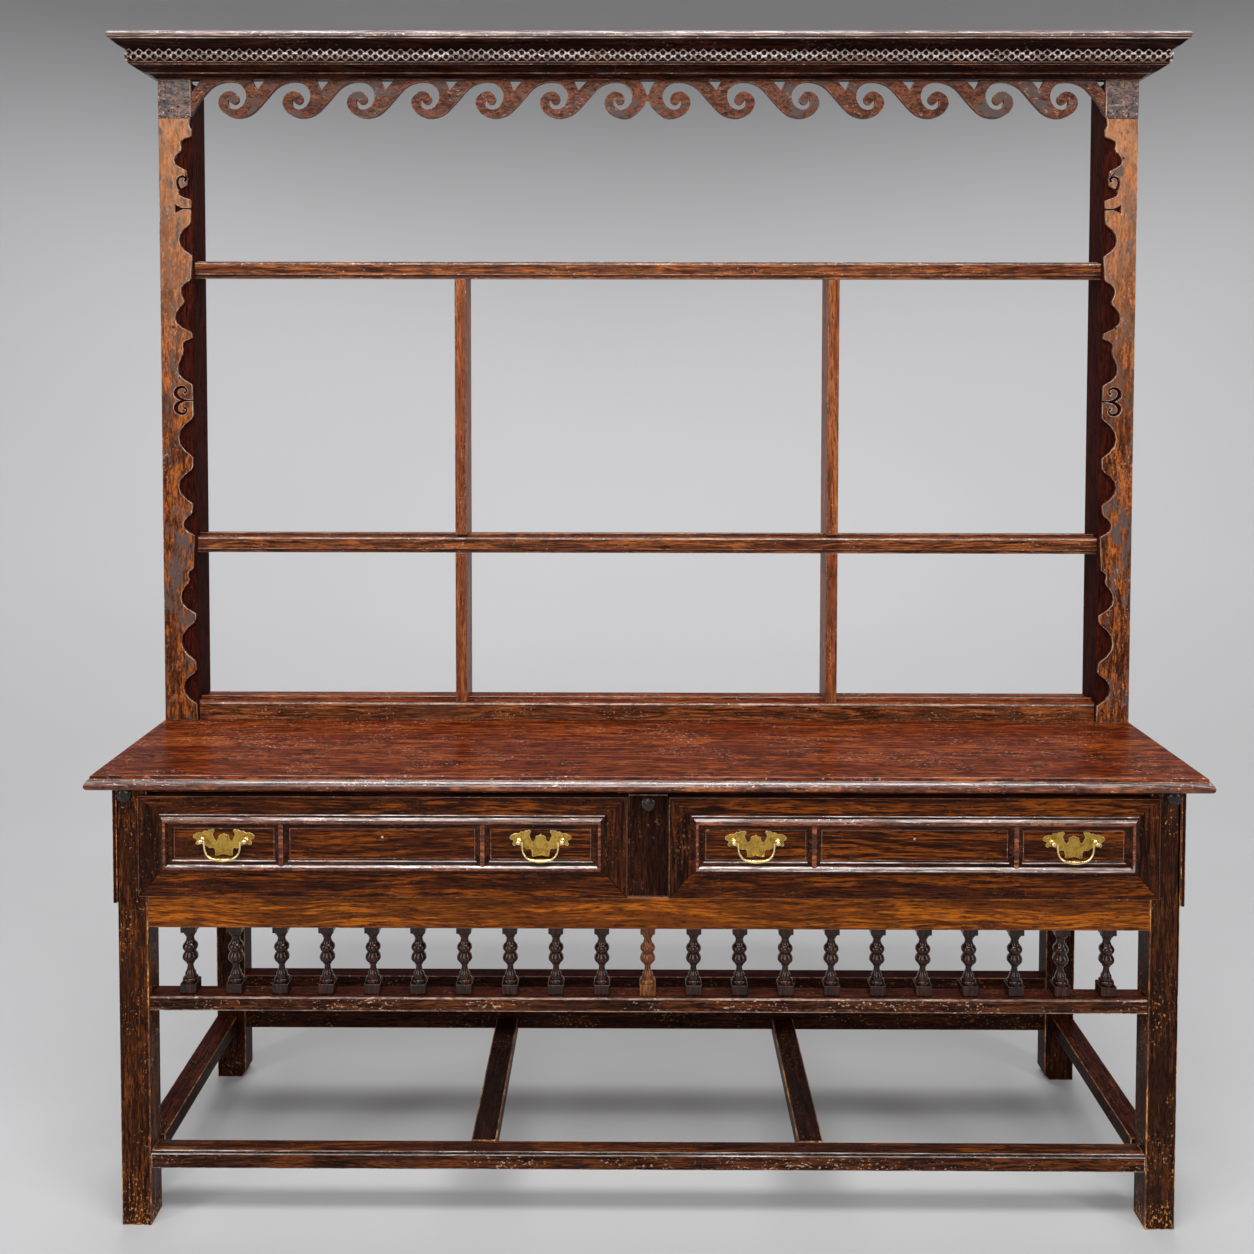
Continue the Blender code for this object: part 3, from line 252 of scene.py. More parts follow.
@dataclass(frozen=True)
class Oak(Finish):
    """Waxed old oak, with colours in linear light and shares from 0 to 1."""

    dark: Colour
    body: Colour
    flame: Colour
    flame_share: float
    patina: Colour = (0.016, 0.012, 0.011)
    patina_share: float = 0.35
    rubbed: Colour = (0.34, 0.17, 0.075)
    rubbed_share: float = 0.25
    streaks: float = 210.0
    flecks: float = 9.0
    roughness: float = 0.34
    shine: float = 0.06
    relief: float = 0.0004
    bloom_share: float = 0.0
    foot_share: float = 0.0
    seed: float = 0.0

    def make(self, graph: Graph, grain: Axis | None) -> bpy.types.Material:
        """Builds the nodes: grain and pores, then bloom, patina and rubbed spots over them.

        Args:
            graph: The new material.
            grain: Direction of the grain.

        Returns:
            The material.
        """

        def waves(along: float, across: float) -> tuple[float, ...]:
            """Gives the waves in a metre along X, Y and Z."""
            return tuple(along if axis is grain else across for axis in Axis)

        def noise(point: object, along: float, across: float, detail: float, rough: float,
                  shift: int) -> Value:
            """Adds noise that runs along the grain."""
            return graph.noise(point, waves(along, across), detail, rough, self.seed + shift)

        flecks, streaks = self.flecks, self.streaks
        place = graph.place()
        spread = graph.add("ShaderNodeMapping", {}, {
            "Vector": place, "Scale": waves(3.0, 9.0), "Location": (self.seed,) * 3})
        drift = graph.add("ShaderNodeTexNoise", {}, {
            "Vector": spread.outputs[0], "Scale": 1.0, "Detail": 2.0})
        swing = graph.add("ShaderNodeVectorMath", {"operation": "MULTIPLY_ADD"},
                          {0: drift.outputs[1], 1: (0.035,) * 3, 2: place}).outputs[0]
        figure = noise(swing, 0.33 * flecks, 0.2 * streaks, 3.0, 0.55, 0)
        streak = noise(swing, flecks, streaks, 3.0, 0.6, 2)
        fine = noise(swing, 3.0 * flecks, 1.7 * streaks, 2.0, 0.6, 3)
        pore = noise(swing, 5.0 * flecks, 2.4 * streaks, 1.0, 0.5, 5)
        cloud = noise(place, 7.0, 20.0, 4.0, 0.65, 7)
        worn = noise(place, 150.0, 260.0, 3.0, 0.6, 9)
        where = noise(place, 9.0, 14.0, 2.0, 0.5, 11).step(0.40, 0.66)
        rise = Value(graph, graph.add("ShaderNodeSeparateXYZ", {}, {0: place}).outputs["Z"])
        flame = (figure * 0.50 + streak * 0.55).step(0.505, 0.60) * (0.30 + 0.70 * fine.step(0.40, 0.58))
        blots = noise(place, 30.0, 62.0, 4.0, 0.7, 13)
        stain = (0.6 * blots + 0.5 * cloud).step(0.55, 0.66) * self.patina_share
        dash = pore.step(0.57, 0.66)
        foot = (1.0 - rise.step(0.0, 0.09)) * self.foot_share
        bare = (worn + 0.10 * streak + 0.06 * foot).step(0.655, 0.70) * (where + foot)
        rubbed = bare.step(0.0, 1.0) * self.rubbed_share
        ground = (fine * 0.45 + streak * 0.35 + cloud * 0.3).step(0.44, 0.62)
        colour = graph.mix(self.dark, self.body, ground)
        colour = graph.mix(colour, self.flame, flame * self.flame_share)
        colour = graph.mix(colour, shade(self.dark, 0.35), dash * 0.75)
        if self.bloom_share:
            pale = (rise + 0.35 * cloud).step(1.45, 2.15) * (0.55 + 0.45 * blots.step(0.4, 0.6))
            colour = graph.mix(colour, self.rubbed, pale * self.bloom_share)
        colour = graph.mix(colour, self.patina, stain)
        colour = graph.mix(colour, self.rubbed, rubbed)
        roughness = self.roughness - 0.06 + 0.14 * stain + 0.10 * dash + 0.14 * worn
        height = 0.45 * fine + 0.2 * streak + 0.3 * worn - 0.4 * dash
        return graph.close({"Base Color": colour, "Roughness": roughness, "Specular IOR Level": self.shine},
                           height, self.relief)


@dataclass(frozen=True)
class Brass(Finish):
    """Cast brass, polished by hand where fingers touch it, browner in its hollows."""

    polished: Colour = (0.56, 0.35, 0.070)
    dull: Colour = (0.20, 0.105, 0.015)
    roughness: float = 0.27
    grit: float = 900.0

    def make(self, graph: Graph, grain: Axis | None) -> bpy.types.Material:
        """Builds the nodes of the finish.

        Args:
            graph: The new material.
            grain: Left aside, because metal has no grain.

        Returns:
            The material.
        """
        place = graph.place()
        pits = graph.noise(place, (self.grit,) * 3, 2.0, 0.6)
        cloud = graph.noise(place, (110.0,) * 3, 3.0, 0.6, 4.0)
        dull = (pits * 0.5 + cloud * 0.6).step(0.50, 0.68)
        colour = graph.mix(self.polished, self.dull, dull * 0.8)
        roughness = self.roughness + 0.25 * dull
        return graph.close({"Base Color": colour, "Metallic": 1.0, "Roughness": roughness}, pits, 0.0003)


@dataclass(frozen=True)
class Iron(Finish):
    """Old iron of a nail or a pin."""

    colour: Colour
    metal: float
    roughness: float

    def make(self, graph: Graph, grain: Axis | None) -> bpy.types.Material:
        """Builds the nodes of the finish.

        Args:
            graph: The new material.
            grain: Left aside, because metal has no grain.

        Returns:
            The material.
        """
        rust = graph.noise(graph.place(), (1400.0,) * 3, 2.0).step(0.4, 0.65)
        colour = graph.mix(self.colour, shade(self.colour, 0.4), rust)
        roughness = self.roughness + 0.2 * rust
        values = {"Base Color": colour, "Metallic": self.metal, "Roughness": roughness}
        return graph.close(values, rust, 0.0002)


BLACK = (0.0055, 0.0022, 0.0014)
TOP = Oak(
    "oak_top", (0.06, 0.008, 0.003), (0.18, 0.031, 0.008), (0.37, 0.084, 0.014), 0.7,
    patina=(0.034, 0.008, 0.0038), patina_share=0.75, rubbed=(0.7, 0.44, 0.34), rubbed_share=0.5,
    streaks=120.0, roughness=0.24, shine=0.02, relief=0.0001, seed=1.0,
)
FIGURED = Oak(
    "oak_rail_figured", (0.06, 0.016, 0.004), (0.155, 0.038, 0.0052), (0.4, 0.105, 0.007), 0.9,
    patina=(0.04, 0.012, 0.004), seed=2.0,
)
DRAWER = Oak(
    "oak_drawer", (0.012, 0.0032, 0.0016), (0.058, 0.013, 0.0036), (0.25, 0.058, 0.0048), 0.75,
    patina=(0.015, 0.0048, 0.0026), patina_share=0.5, seed=3.0,
)
STILE = Oak(
    "oak_stile", (0.006, 0.0018, 0.001), (0.025, 0.0062, 0.0024), (0.105, 0.026, 0.0036), 0.6,
    patina=(0.008, 0.003, 0.002), patina_share=0.5, rubbed_share=0.35, seed=3.5,
)
MOULDING = Oak(
    "oak_moulding", BLACK, (0.03, 0.0085, 0.0045), (0.13, 0.033, 0.008), 0.5, patina_share=0.2,
    rubbed=(0.3, 0.11, 0.05), rubbed_share=0.4, roughness=0.26, shine=0.08, relief=0.00012, seed=4.0,
)
LEG = Oak(
    "oak_leg", (0.0115, 0.0034, 0.0017), (0.047, 0.012, 0.0036), (0.2, 0.052, 0.0065), 0.6,
    patina=(0.012, 0.005, 0.0034), patina_share=0.6, rubbed=(0.54, 0.25, 0.085), rubbed_share=0.85,
    streaks=260.0, flecks=22.0, foot_share=0.8, seed=5.0,
)
# Darker copy of the leg's finish for the right front leg: painted shade
SHADED_LEG = replace(LEG, name="oak_leg_dark", body=(0.03, 0.009, 0.0036), flame=(0.12, 0.035, 0.009), seed=5.5)
RAIL = Oak(
    "oak_rail", (0.01, 0.0038, 0.0024), (0.052, 0.015, 0.0065), (0.19, 0.052, 0.012), 0.6,
    rubbed=(0.58, 0.36, 0.25), rubbed_share=0.8, flecks=14.0, seed=6.0,
)
DARK = Oak(
    "oak_dark", (0.0058, 0.002, 0.0012), (0.021, 0.0062, 0.0032), (0.06, 0.015, 0.005), 0.5,
    patina=(0.012, 0.008, 0.007), patina_share=0.4, rubbed_share=0.4, flecks=14.0, shine=0.03, seed=7.0,
)
SPINDLE = Oak(
    "oak_spindle", (0.0055, 0.0015, 0.0008), (0.021, 0.0053, 0.0021), (0.085, 0.021, 0.0055), 0.4,
    patina_share=0.1, rubbed_share=0.05, roughness=0.13, shine=0.32, relief=0.00001, seed=8.0,
)
PALE_SPINDLE = Oak(
    "oak_spindle_pale", (0.07, 0.02, 0.0055), (0.17, 0.052, 0.013), (0.34, 0.125, 0.034), 0.5,
    patina_share=0.1, rubbed_share=0.05, roughness=0.15, shine=0.25, relief=0.00001, seed=9.0,
)
FRET = Oak(
    "oak_fret", (0.032, 0.0095, 0.0042), (0.11, 0.028, 0.0085), (0.42, 0.11, 0.017), 0.7,
    patina=(0.085, 0.058, 0.051), patina_share=0.95, rubbed=(0.53, 0.26, 0.135), rubbed_share=0.5,
    bloom_share=0.5, streaks=150.0, flecks=24.0, seed=10.0,
)
FRIEZE = Oak(
    "oak_frieze", (0.034, 0.013, 0.0085), (0.105, 0.038, 0.022), (0.2, 0.062, 0.024), 0.4,
    patina=(0.066, 0.048, 0.043), patina_share=1.0, rubbed=(0.4, 0.25, 0.18), rubbed_share=0.4, streaks=130.0,
    flecks=40.0, seed=10.5,
)
BLOCK = Oak(
    "oak_block", (0.046, 0.035, 0.034), (0.125, 0.094, 0.087), (0.25, 0.125, 0.07), 0.5,
    patina=(0.038, 0.032, 0.032), patina_share=0.85, rubbed=(0.5, 0.46, 0.45), rubbed_share=0.7,
    streaks=120.0, flecks=40.0, shine=0.15, seed=11.0,
)
RED = Oak(
    "oak_red", (0.013, 0.0024, 0.0016), (0.036, 0.0058, 0.003), (0.06, 0.009, 0.004), 0.6,
    patina=(0.008, 0.002, 0.0014), patina_share=0.5, rubbed=(0.2, 0.055, 0.03), rubbed_share=0.2,
    roughness=0.6, shine=0.02, seed=12.0,
)
SHADE = Oak(
    "oak_shade", (0.02, 0.0046, 0.0026), (0.062, 0.013, 0.007), (0.13, 0.032, 0.016), 0.5,
    patina=(0.012, 0.004, 0.003), patina_share=0.5, rubbed_share=0.4, flecks=14.0, shine=0.02, seed=12.5,
)
SHELF = Oak(
    "oak_shelf", (0.032, 0.009, 0.004), (0.13, 0.036, 0.013), (0.38, 0.11, 0.026), 0.7,
    patina=(0.045, 0.02, 0.013), patina_share=0.5, rubbed=(0.58, 0.34, 0.22), rubbed_share=0.5, seed=13.0,
)
UPRIGHT = Oak(
    "oak_upright", (0.1, 0.025, 0.0095), (0.21, 0.056, 0.019), (0.4, 0.12, 0.032), 0.7,
    patina=(0.08, 0.03, 0.016), patina_share=0.4, rubbed=(0.58, 0.34, 0.22), rubbed_share=0.4, seed=13.5,
)
CORNICE = Oak(
    "oak_cornice", (0.003, 0.0008, 0.0005), (0.015, 0.0036, 0.0018), (0.085, 0.022, 0.009), 0.45,
    patina=(0.006, 0.003, 0.0024), patina_share=0.3, rubbed=(0.26, 0.13, 0.09), rubbed_share=0.3,
    roughness=0.4, seed=14.0,
)
DRY = Oak(
    "oak_dry", (0.066, 0.031, 0.013), (0.22, 0.118, 0.05), (0.36, 0.21, 0.1), 0.5,
    patina=(0.11, 0.066, 0.036), patina_share=0.4, rubbed_share=0.0, roughness=0.62, seed=15.0,
)
WORN_EDGE = Oak(
    "oak_arris", (0.05, 0.017, 0.009), (0.15, 0.055, 0.026), (0.34, 0.145, 0.07), 0.8, patina_share=0.3,
    rubbed=(0.66, 0.46, 0.35), rubbed_share=0.8, streaks=120.0, flecks=16.0, roughness=0.27, shine=0.6,
    relief=0.0002, seed=16.0,
)
# Pale arrises of the shelves, the fret and the gallery rail: rubbed wear with a painted highlight
PALE_WEAR_AND_HIGHLIGHT = Oak(
    "oak_arris_pale", (0.1, 0.05, 0.034), (0.27, 0.16, 0.115), (0.48, 0.33, 0.25), 0.8, patina_share=0.25,
    rubbed=(0.78, 0.66, 0.57), rubbed_share=0.8, streaks=120.0, flecks=16.0, roughness=0.24, shine=0.8,
    relief=0.0002, seed=17.0,
)
# Pale glossy finish for the faces where highlights fall: a painted highlight over rubbed wear
WORN_HIGHLIGHT = Oak(
    "oak_arris_silver", (0.05, 0.022, 0.016), (0.17, 0.098, 0.078), (0.42, 0.3, 0.26), 0.8,
    patina=(0.06, 0.036, 0.032), patina_share=0.4, rubbed=(0.8, 0.68, 0.62), rubbed_share=0.8, streaks=330.0,
    flecks=8.0, roughness=0.19, shine=1.0, relief=0.00008, seed=17.5,
)
# Near-white glossy finish for thin lines and faces that look up: a painted highlight, with pale rubbed spots
GLINT = Oak(
    "oak_arris_glint", (0.11, 0.066, 0.053), (0.33, 0.245, 0.215), (0.74, 0.66, 0.63), 0.85,
    patina=(0.1, 0.06, 0.048), patina_share=0.3, rubbed=(0.86, 0.8, 0.77), rubbed_share=0.8, streaks=330.0,
    flecks=8.0, roughness=0.22, shine=0.8, relief=0.00006, seed=17.8,
)
ORANGE_EDGE = Oak(
    "oak_arris_orange", (0.045, 0.013, 0.005), (0.24, 0.075, 0.016), (0.78, 0.32, 0.08), 0.9,
    patina=(0.02, 0.008, 0.004), patina_share=0.4, rubbed=(0.68, 0.38, 0.17), rubbed_share=0.8, streaks=120.0,
    flecks=30.0, shine=0.4, seed=18.0,
)
RUST_EDGE = Oak(
    "oak_arris_rust", (0.045, 0.011, 0.006), (0.15, 0.036, 0.014), (0.4, 0.115, 0.035), 0.8, patina_share=0.3,
    rubbed=(0.62, 0.32, 0.18), rubbed_share=0.7, streaks=120.0, flecks=20.0, shine=0.3, relief=0.0002,
    seed=19.0,
)
PEG = Oak(
    "oak_peg", (0.0035, 0.002, 0.0015), (0.012, 0.0062, 0.0045), (0.045, 0.022, 0.014), 0.5, patina_share=0.2,
    rubbed=(0.4, 0.28, 0.2), rubbed_share=0.4, roughness=0.2, shine=0.35, seed=20.0,
)
CRACK = Oak(
    "oak_crack", (0.002, 0.0009, 0.0006), (0.0045, 0.0018, 0.0011), (0.012, 0.004, 0.002), 0.4,
    patina_share=0.1, rubbed=(0.16, 0.075, 0.04), rubbed_share=0.5, roughness=0.7, shine=0.0, seed=21.0,
)
HANDLE_BRASS = Brass("brass_handle")
BRIGHT_BRASS = Brass("brass_polished", (0.96, 0.78, 0.38), (0.66, 0.45, 0.12), 0.14, 500.0)
NAIL_IRON = Iron("iron_nail", (0.012, 0.01, 0.01), 0.4, 0.45)
PIN_STEEL = Iron("steel_pin", (0.72, 0.72, 0.72), 0.9, 0.3)


# Bench work


class Bench:
    """Steps that every piece shares."""

    @staticmethod
    def take(*pieces: bpy.types.Object) -> None:
        """Selects pieces and nothing else.

        Args:
            pieces: The pieces, of which the first one becomes active.
        """
        for other in bpy.context.view_layer.objects:
            other.select_set(False)
        for piece in pieces:
            piece.select_set(True)
        bpy.context.view_layer.objects.active = pieces[0] if pieces else None

    @staticmethod
    @contextmanager
    def editing(piece: bpy.types.Object) -> Iterator[None]:
        """Opens a piece in edit mode for the steps inside, with all of it selected.

        Args:
            piece: The piece.

        Yields:
            Nothing.
        """
        Bench.take(piece)
        bpy.ops.object.mode_set(mode="EDIT")
        bpy.ops.mesh.select_mode(type="VERT")
        bpy.ops.mesh.select_all(action="SELECT")
        yield
        bpy.ops.object.mode_set(mode="OBJECT")

    @staticmethod
    def pick(piece: bpy.types.Object, kind: str, test: Callable[[object], bool]) -> None:
        """Selects faces or edges in edit mode.

        Args:
            piece: The piece that is open.
            kind: FACE or EDGE.
            test: Says which ones are wanted.
        """
        bpy.ops.mesh.select_mode(type=kind)
        shape = bmesh.from_edit_mesh(piece.data)
        parts = shape.faces if kind == "FACE" else shape.edges
        for part in parts:
            part.select_set(False)
        for part in filter(test, parts):
            part.select_set(True)
        bmesh.update_edit_mesh(piece.data)

    @staticmethod
    def extrude(x: float, y: float, z: float) -> None:
        """Extrudes what is picked by this much."""
        bpy.ops.mesh.extrude_region_move(TRANSFORM_OT_translate={"value": (x, y, z)})

    @staticmethod
    def face_outwards() -> None:
        """Turns every face of the open piece outwards."""
        bpy.ops.mesh.select_all(action="SELECT")
        bpy.ops.mesh.normals_make_consistent(inside=False)

    @staticmethod
    def cut(piece: bpy.types.Object, place: Sequence[float], normal: Sequence[float],
            trim: bool = False) -> None:
        """Cuts a piece along the plane through a point, and can trim off what lies beyond it."""
        with Bench.editing(piece):
            bpy.ops.mesh.bisect(plane_co=place, plane_no=normal, clear_outer=trim)

    @staticmethod
    def cut_level(piece: bpy.types.Object, *heights: float) -> None:
        """Cuts a piece at these heights."""
        for height in heights:
            Bench.cut(piece, (0.0, 0.0, height), UPWARDS)

    @staticmethod
    def coat(piece: bpy.types.Object, grain: Axis | None, *finishes: Finish) -> range:
        """Adds finishes to a piece, after those that it has.

        Args:
            piece: The piece.
            grain: Direction of its grain.
            finishes: The finishes.

        Returns:
            Their places among its materials.
        """
        first = len(piece.data.materials)
        for finish in finishes:
            piece.data.materials.append(finish.material(grain))
        return range(first, first + len(finishes))

    @staticmethod
    def apply() -> bpy.types.Object:
        """Puts the place, turn and size of the active piece into its mesh and gives the piece."""
        bpy.ops.object.transform_apply(location=True, rotation=True, scale=True)
        return bpy.context.object

    @staticmethod
    def settle(piece: bpy.types.Object, name: str, angle: float) -> None:
        """Names a piece, puts its place into its mesh and smooths its edges.

        Args:
            piece: The piece.
            name: Its name.
            angle: Sharpest angle in degrees that is smoothed.
        """
        Bench.take(piece)
        Bench.apply()
        bpy.ops.object.shade_smooth_by_angle(angle=math.radians(angle))
        bpy.ops.object.modifier_add(type="WEIGHTED_NORMAL")
        piece.modifiers[-1].keep_sharp = True
        bpy.ops.object.modifier_apply(modifier=piece.modifiers[-1].name)
        piece.name = name
        piece.data.name = name

    @staticmethod
    def deliver(piece: bpy.types.Object, name: str, angle: float, body: str, slot: str,
                *finishes: Finish, grain: Axis | None = None) -> None:
        """Settles a piece and gives it its finishes and its body.

        Args:
            piece: The piece.
            name: Its name.
            angle: Sharpest angle in degrees that is smoothed.
            body: The body that it rides on.
            slot: The record's slot; not used.
            finishes: Its finishes, if they aren't in place yet.
            grain: Direction of its grain.
        """
        Bench.settle(piece, name, angle)
        Bench.coat(piece, grain, *finishes)
        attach(piece, body)
        log.info("%s: %d faces on %s", piece.name, len(piece.data.polygons), body)

    @staticmethod
    def copy_mesh(piece: bpy.types.Object, shift: Sequence[float]) -> bpy.types.Object:
        """Copies a piece with a mesh of its own.

        Args:
            piece: The piece.
            shift: How far the copy lies from it.

        Returns:
            The copy.
        """
        copy = bpy.data.objects.new(piece.name, piece.data.copy())
        copy.data.transform(Matrix.Translation(shift))
        bpy.context.scene.collection.objects.link(copy)
        return copy

    @staticmethod
    def join(pieces: Sequence[bpy.types.Object], name: str) -> bpy.types.Object:
        """Joins pieces into the first one.

        Args:
            pieces: The pieces.
            name: Name of what they become.

        Returns:
            The joined piece.
        """
        Bench.take(*pieces)
        bpy.ops.object.join()
        pieces[0].name = name
        pieces[0].data.name = name
        return pieces[0]

    @staticmethod
    def block(low: Sequence[float], high: Sequence[float], round_by: float) -> bpy.types.Object:
        """Makes a squared block.

        Args:
            low: Its lowest corner.
            high: Its highest.
            round_by: How far its arrises are rounded.

        Returns:
            The block.
        """
        low, high = Vector(low), Vector(high)
        Bench.take()
        bpy.ops.mesh.primitive_cube_add(size=1.0, location=(low + high) / 2, scale=high - low)
        piece = Bench.apply()
        with Bench.editing(piece):
            bpy.ops.mesh.bevel(offset=round_by, segments=2, affect="EDGES")
        return piece

    @staticmethod
    def sheet(place: Sequence[float], size: Sequence[float], tilt: float = 0.0) -> bpy.types.Object:
        """Makes a flat rectangle.

        Args:
            place: Its middle.
            size: Its width and depth.
            tilt: Its turn about X.

        Returns:
            The rectangle.
        """
        Bench.take()
        bpy.ops.mesh.primitive_plane_add(size=1.0, location=place, rotation=(tilt, 0.0, 0.0))
        bpy.context.object.scale = (*size, 1.0)
        return Bench.apply()

    @staticmethod
    def turn(foot: Vector, along: Vector, rings: Rings, sides: int) -> bpy.types.Object:
        """Turns a round piece as on a lathe.

        Args:
            foot: Middle of its foot.
            along: Direction of its axis, forwards or upwards.
            rings: Height over the foot and radius of each ring.
            sides: Number of its sides.

        Returns:
            The piece.
        """
        Bench.take()
        bpy.ops.mesh.primitive_circle_add(
            vertices=sides, radius=rings[0][1], fill_type="NGON", location=foot + rings[0][0] * along,
            rotation=(RIGHT_ANGLE if along.y else 0.0, 0.0, 0.0))
        piece = Bench.apply()
        with Bench.editing(piece):
            for (before, was), (height, radius) in zip(rings, rings[1:]):
                Bench.extrude(*((height - before) * along))
                size = [1.0 if step else radius / was for step in along]
                bpy.ops.transform.resize(value=size, center_override=foot + height * along)
            Bench.face_outwards()
        return piece

    @staticmethod
    def stud(place: Vector, radius: float, rise: float, sides: int = 12) -> bpy.types.Object:
        """Makes a domed head of this radius and height on a face that looks forwards."""
        dome = ((0.0, 1.0), (0.30, 0.95), (0.58, 0.836), (0.80, 0.65208), (0.94, 0.391248), (1.0, 0.1564992))
        return Bench.turn(place, FORWARDS, [(u * rise, v * radius) for u, v in dome], sides)


# Boards of the frame with worn arrises, some with painted highlights


@dataclass(frozen=True)
class Board:
    """A board of the frame, how age has treated it and where it carries painted highlights."""

    nodes: tuple[str, ...]
    finish: Oak
    grain: Axis
    slot: str
    edge: Oak = WORN_EDGE
    round_by: float = 0.0013
    shortest: float = 0.012
    sharpest: float = 30.0
    top: Oak | None = None


@dataclass
class Joinery:
    """The boards of base and rack, copied with their arrises rounded and rubbed, some with painted
    highlights.

    A nail has its share of the pilaster's width and its drop from the pilaster's head.
    """

    weld: float = 0.00001
    flatten: float = 0.6
    face_room: float = 2.1
    lobe: float = 0.0024
    lobe_room: float = 2.05
    lobe_angle: float = 24.0
    lobes_end: float = 0.072
    block_foot: float = 0.0735
    joint: float = 0.0011
    upright: float = 0.1
    peg: tuple[float, float, int] = (0.0137, 0.0062, 22)
    peg_inset: float = 0.014
    peg_drop: float = 0.0150
    middle_peg_drop: float = 0.0275
    nail: tuple[float, float] = (0.0024, 0.0009)
    nails: Sequence[tuple[float, float]] = (
        (0.20, 0.042), (0.34, 0.060), (0.62, 0.052), (0.55, 0.150), (0.40, 0.480))

    def boards(self) -> list[Board]:
        """Lists the boards.

        Returns:
            The boards with their finishes.
        """
        across, back, up = Axis.ACROSS, Axis.BACK, Axis.UP
        # The right front leg takes the darker copy of the leg's finish as painted shade; the edges of the
        # front stretcher, the shelves and the fret are painted highlights over rubbed wear
        return [
            Board(("front_leg_left",), LEG, up, "leg", ORANGE_EDGE, 0.0021),
            Board(("front_leg_right",), SHADED_LEG, up, "leg", ORANGE_EDGE, 0.0021),
            Board(("back_leg_left", "back_leg_right"), DARK, up, "leg", ORANGE_EDGE, 0.0018),
            Board(("front_rail",), FIGURED, across, "rail"),
            Board(("front_top_rail",), DARK, across, "rail"),
            Board(("back_rail",), DARK, across, "rail", RUST_EDGE, top=RED),
            Board(("front_stretcher",), RAIL, across, "rail", GLINT, 0.0018, top=DRAWER),
            Board(("side_stretcher_left", "side_stretcher_right"), DARK, back, "rail", ORANGE_EDGE, 0.0014,
                  top=SHADE),
            Board(("cross_stretcher_left", "cross_stretcher_right"), DARK, back, "rail", ORANGE_EDGE, 0.0026),
            Board(("drawer_muntin",), DARK, up, "rail"),
            Board(("end_board_left", "end_board_right"), DARK, back, "rail", ORANGE_EDGE),
            Board(("rack_shelf_bottom", "rack_shelf_middle", "rack_shelf_top"), SHELF, across, "shelf",
                  PALE_WEAR_AND_HIGHLIGHT, 0.0009, top=TOP),
            Board(("rack_divider_left", "rack_divider_right"), UPRIGHT, up, "shelf"),
            Board(("pilaster_backing_left", "pilaster_backing_right", "rack_post_left", "rack_post_right"),
                  RED, up, "red_oak", RED, 0.0010),
            Board(("fret_pilaster_left", "fret_pilaster_right"), FRET, up, "fret", PALE_WEAR_AND_HIGHLIGHT, 0.0012, 0.0009,
                  25.0),
            Board(("scroll_frieze",), FRIEZE, across, "fret", RUST_EDGE, 0.0010, 0.0009, 25.0),
        ]

    def copy_node(self, node: str) -> bpy.types.Object:
        """Copies a node as a clean mesh of flat faces.

        Args:
            node: Name of the node.

        Returns:
            The copy.
        """
        piece = bpy.data.objects.new("worn_" + node, frame["nodes"][node].data.copy())
        bpy.context.scene.collection.objects.link(piece)
        with Bench.editing(piece):
            bpy.ops.mesh.customdata_custom_splitnormals_clear()
            bpy.ops.mesh.remove_doubles(threshold=self.weld)
            bpy.ops.mesh.dissolve_limited(angle_limit=math.radians(self.flatten))
        return piece

    def is_arris(self, edge: bmesh.types.BMEdge, board: Board) -> bool:
        """Says whether an edge stands out and has room beside it to be rounded.

        Args:
            edge: The edge.
            board: Its board.

        Returns:
            Whether it is rounded.
        """
        length = edge.calc_length()
        if len(edge.link_faces) != 2 or length < board.shortest:
            return False
        if edge.calc_face_angle_signed(0.0) < math.radians(board.sharpest):
            return False
        return all(face.calc_area() / length > self.face_room * board.round_by for face in edge.link_faces)

    def wear(self, piece: bpy.types.Object, board: Board) -> None:
        """Gives a copy its two materials and rounds its arrises, which take the second one.

        Args:
            piece: The copy.
            board: Its board.
        """
        piece.data.materials.clear()
        Bench.coat(piece, board.grain, board.finish, board.edge)
        with Bench.editing(piece):
            Bench.pick(piece, "EDGE", lambda edge: self.is_arris(edge, board))
            bpy.ops.mesh.bevel(offset=board.round_by, segments=2, affect="EDGES", material=ARRIS,
                               clamp_overlap=False)

    def build(self) -> None:
        """Builds every board and dresses it."""
        for board in self.boards():
            for node in board.nodes:
                piece = self.copy_node(node)
                if node.startswith("fret_pilaster"):
                    self.round_lobes(piece)
                self.wear(piece, board)
                self.stain(piece, board)
                if node.startswith("fret_pilaster"):
                    self.stain_block(piece)
                Bench.deliver(piece, piece.name, 50.0, "dresser", board.slot)
                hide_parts(node)
        self.pegs()

    def stain(self, piece: bpy.types.Object, board: Board) -> None:
        """Gives the slopes of a copy that look up and forwards the finish of its arrises, a painted highlight
        over wear, and its upper faces their own finish.

        Args:
            piece: The copy.
            board: Its board.
        """
        upper, = Bench.coat(piece, board.grain, board.top or board.finish)
        for face in piece.data.polygons:
            # Slopes that look up and forwards take the arris finish as a painted highlight over wear
            if board.grain is Axis.ACROSS and face.normal.z > SLOPING and face.normal.y < -SLOPING:
                face.material_index = ARRIS
            elif face.normal.z > SQUARE:
                face.material_index = upper

    def pegs(self) -> None:
        """Sets the domed peg heads into the front legs and the muntin."""
        corner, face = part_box("front_leg_right")[1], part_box("front_rail")[0].y
        places = [(s * (corner.x - self.peg_inset), corner.z - self.peg_drop) for s in SIDES.values()]
        places.append((0.0, corner.z - self.middle_peg_drop))
        heads = Bench.join([Bench.stud(Vector((x, face, z)), *self.peg) for x, z in places], "peg_heads")
        Bench.deliver(heads, "peg_heads", 70.0, "dresser", "leg", PEG, grain=Axis.BACK)

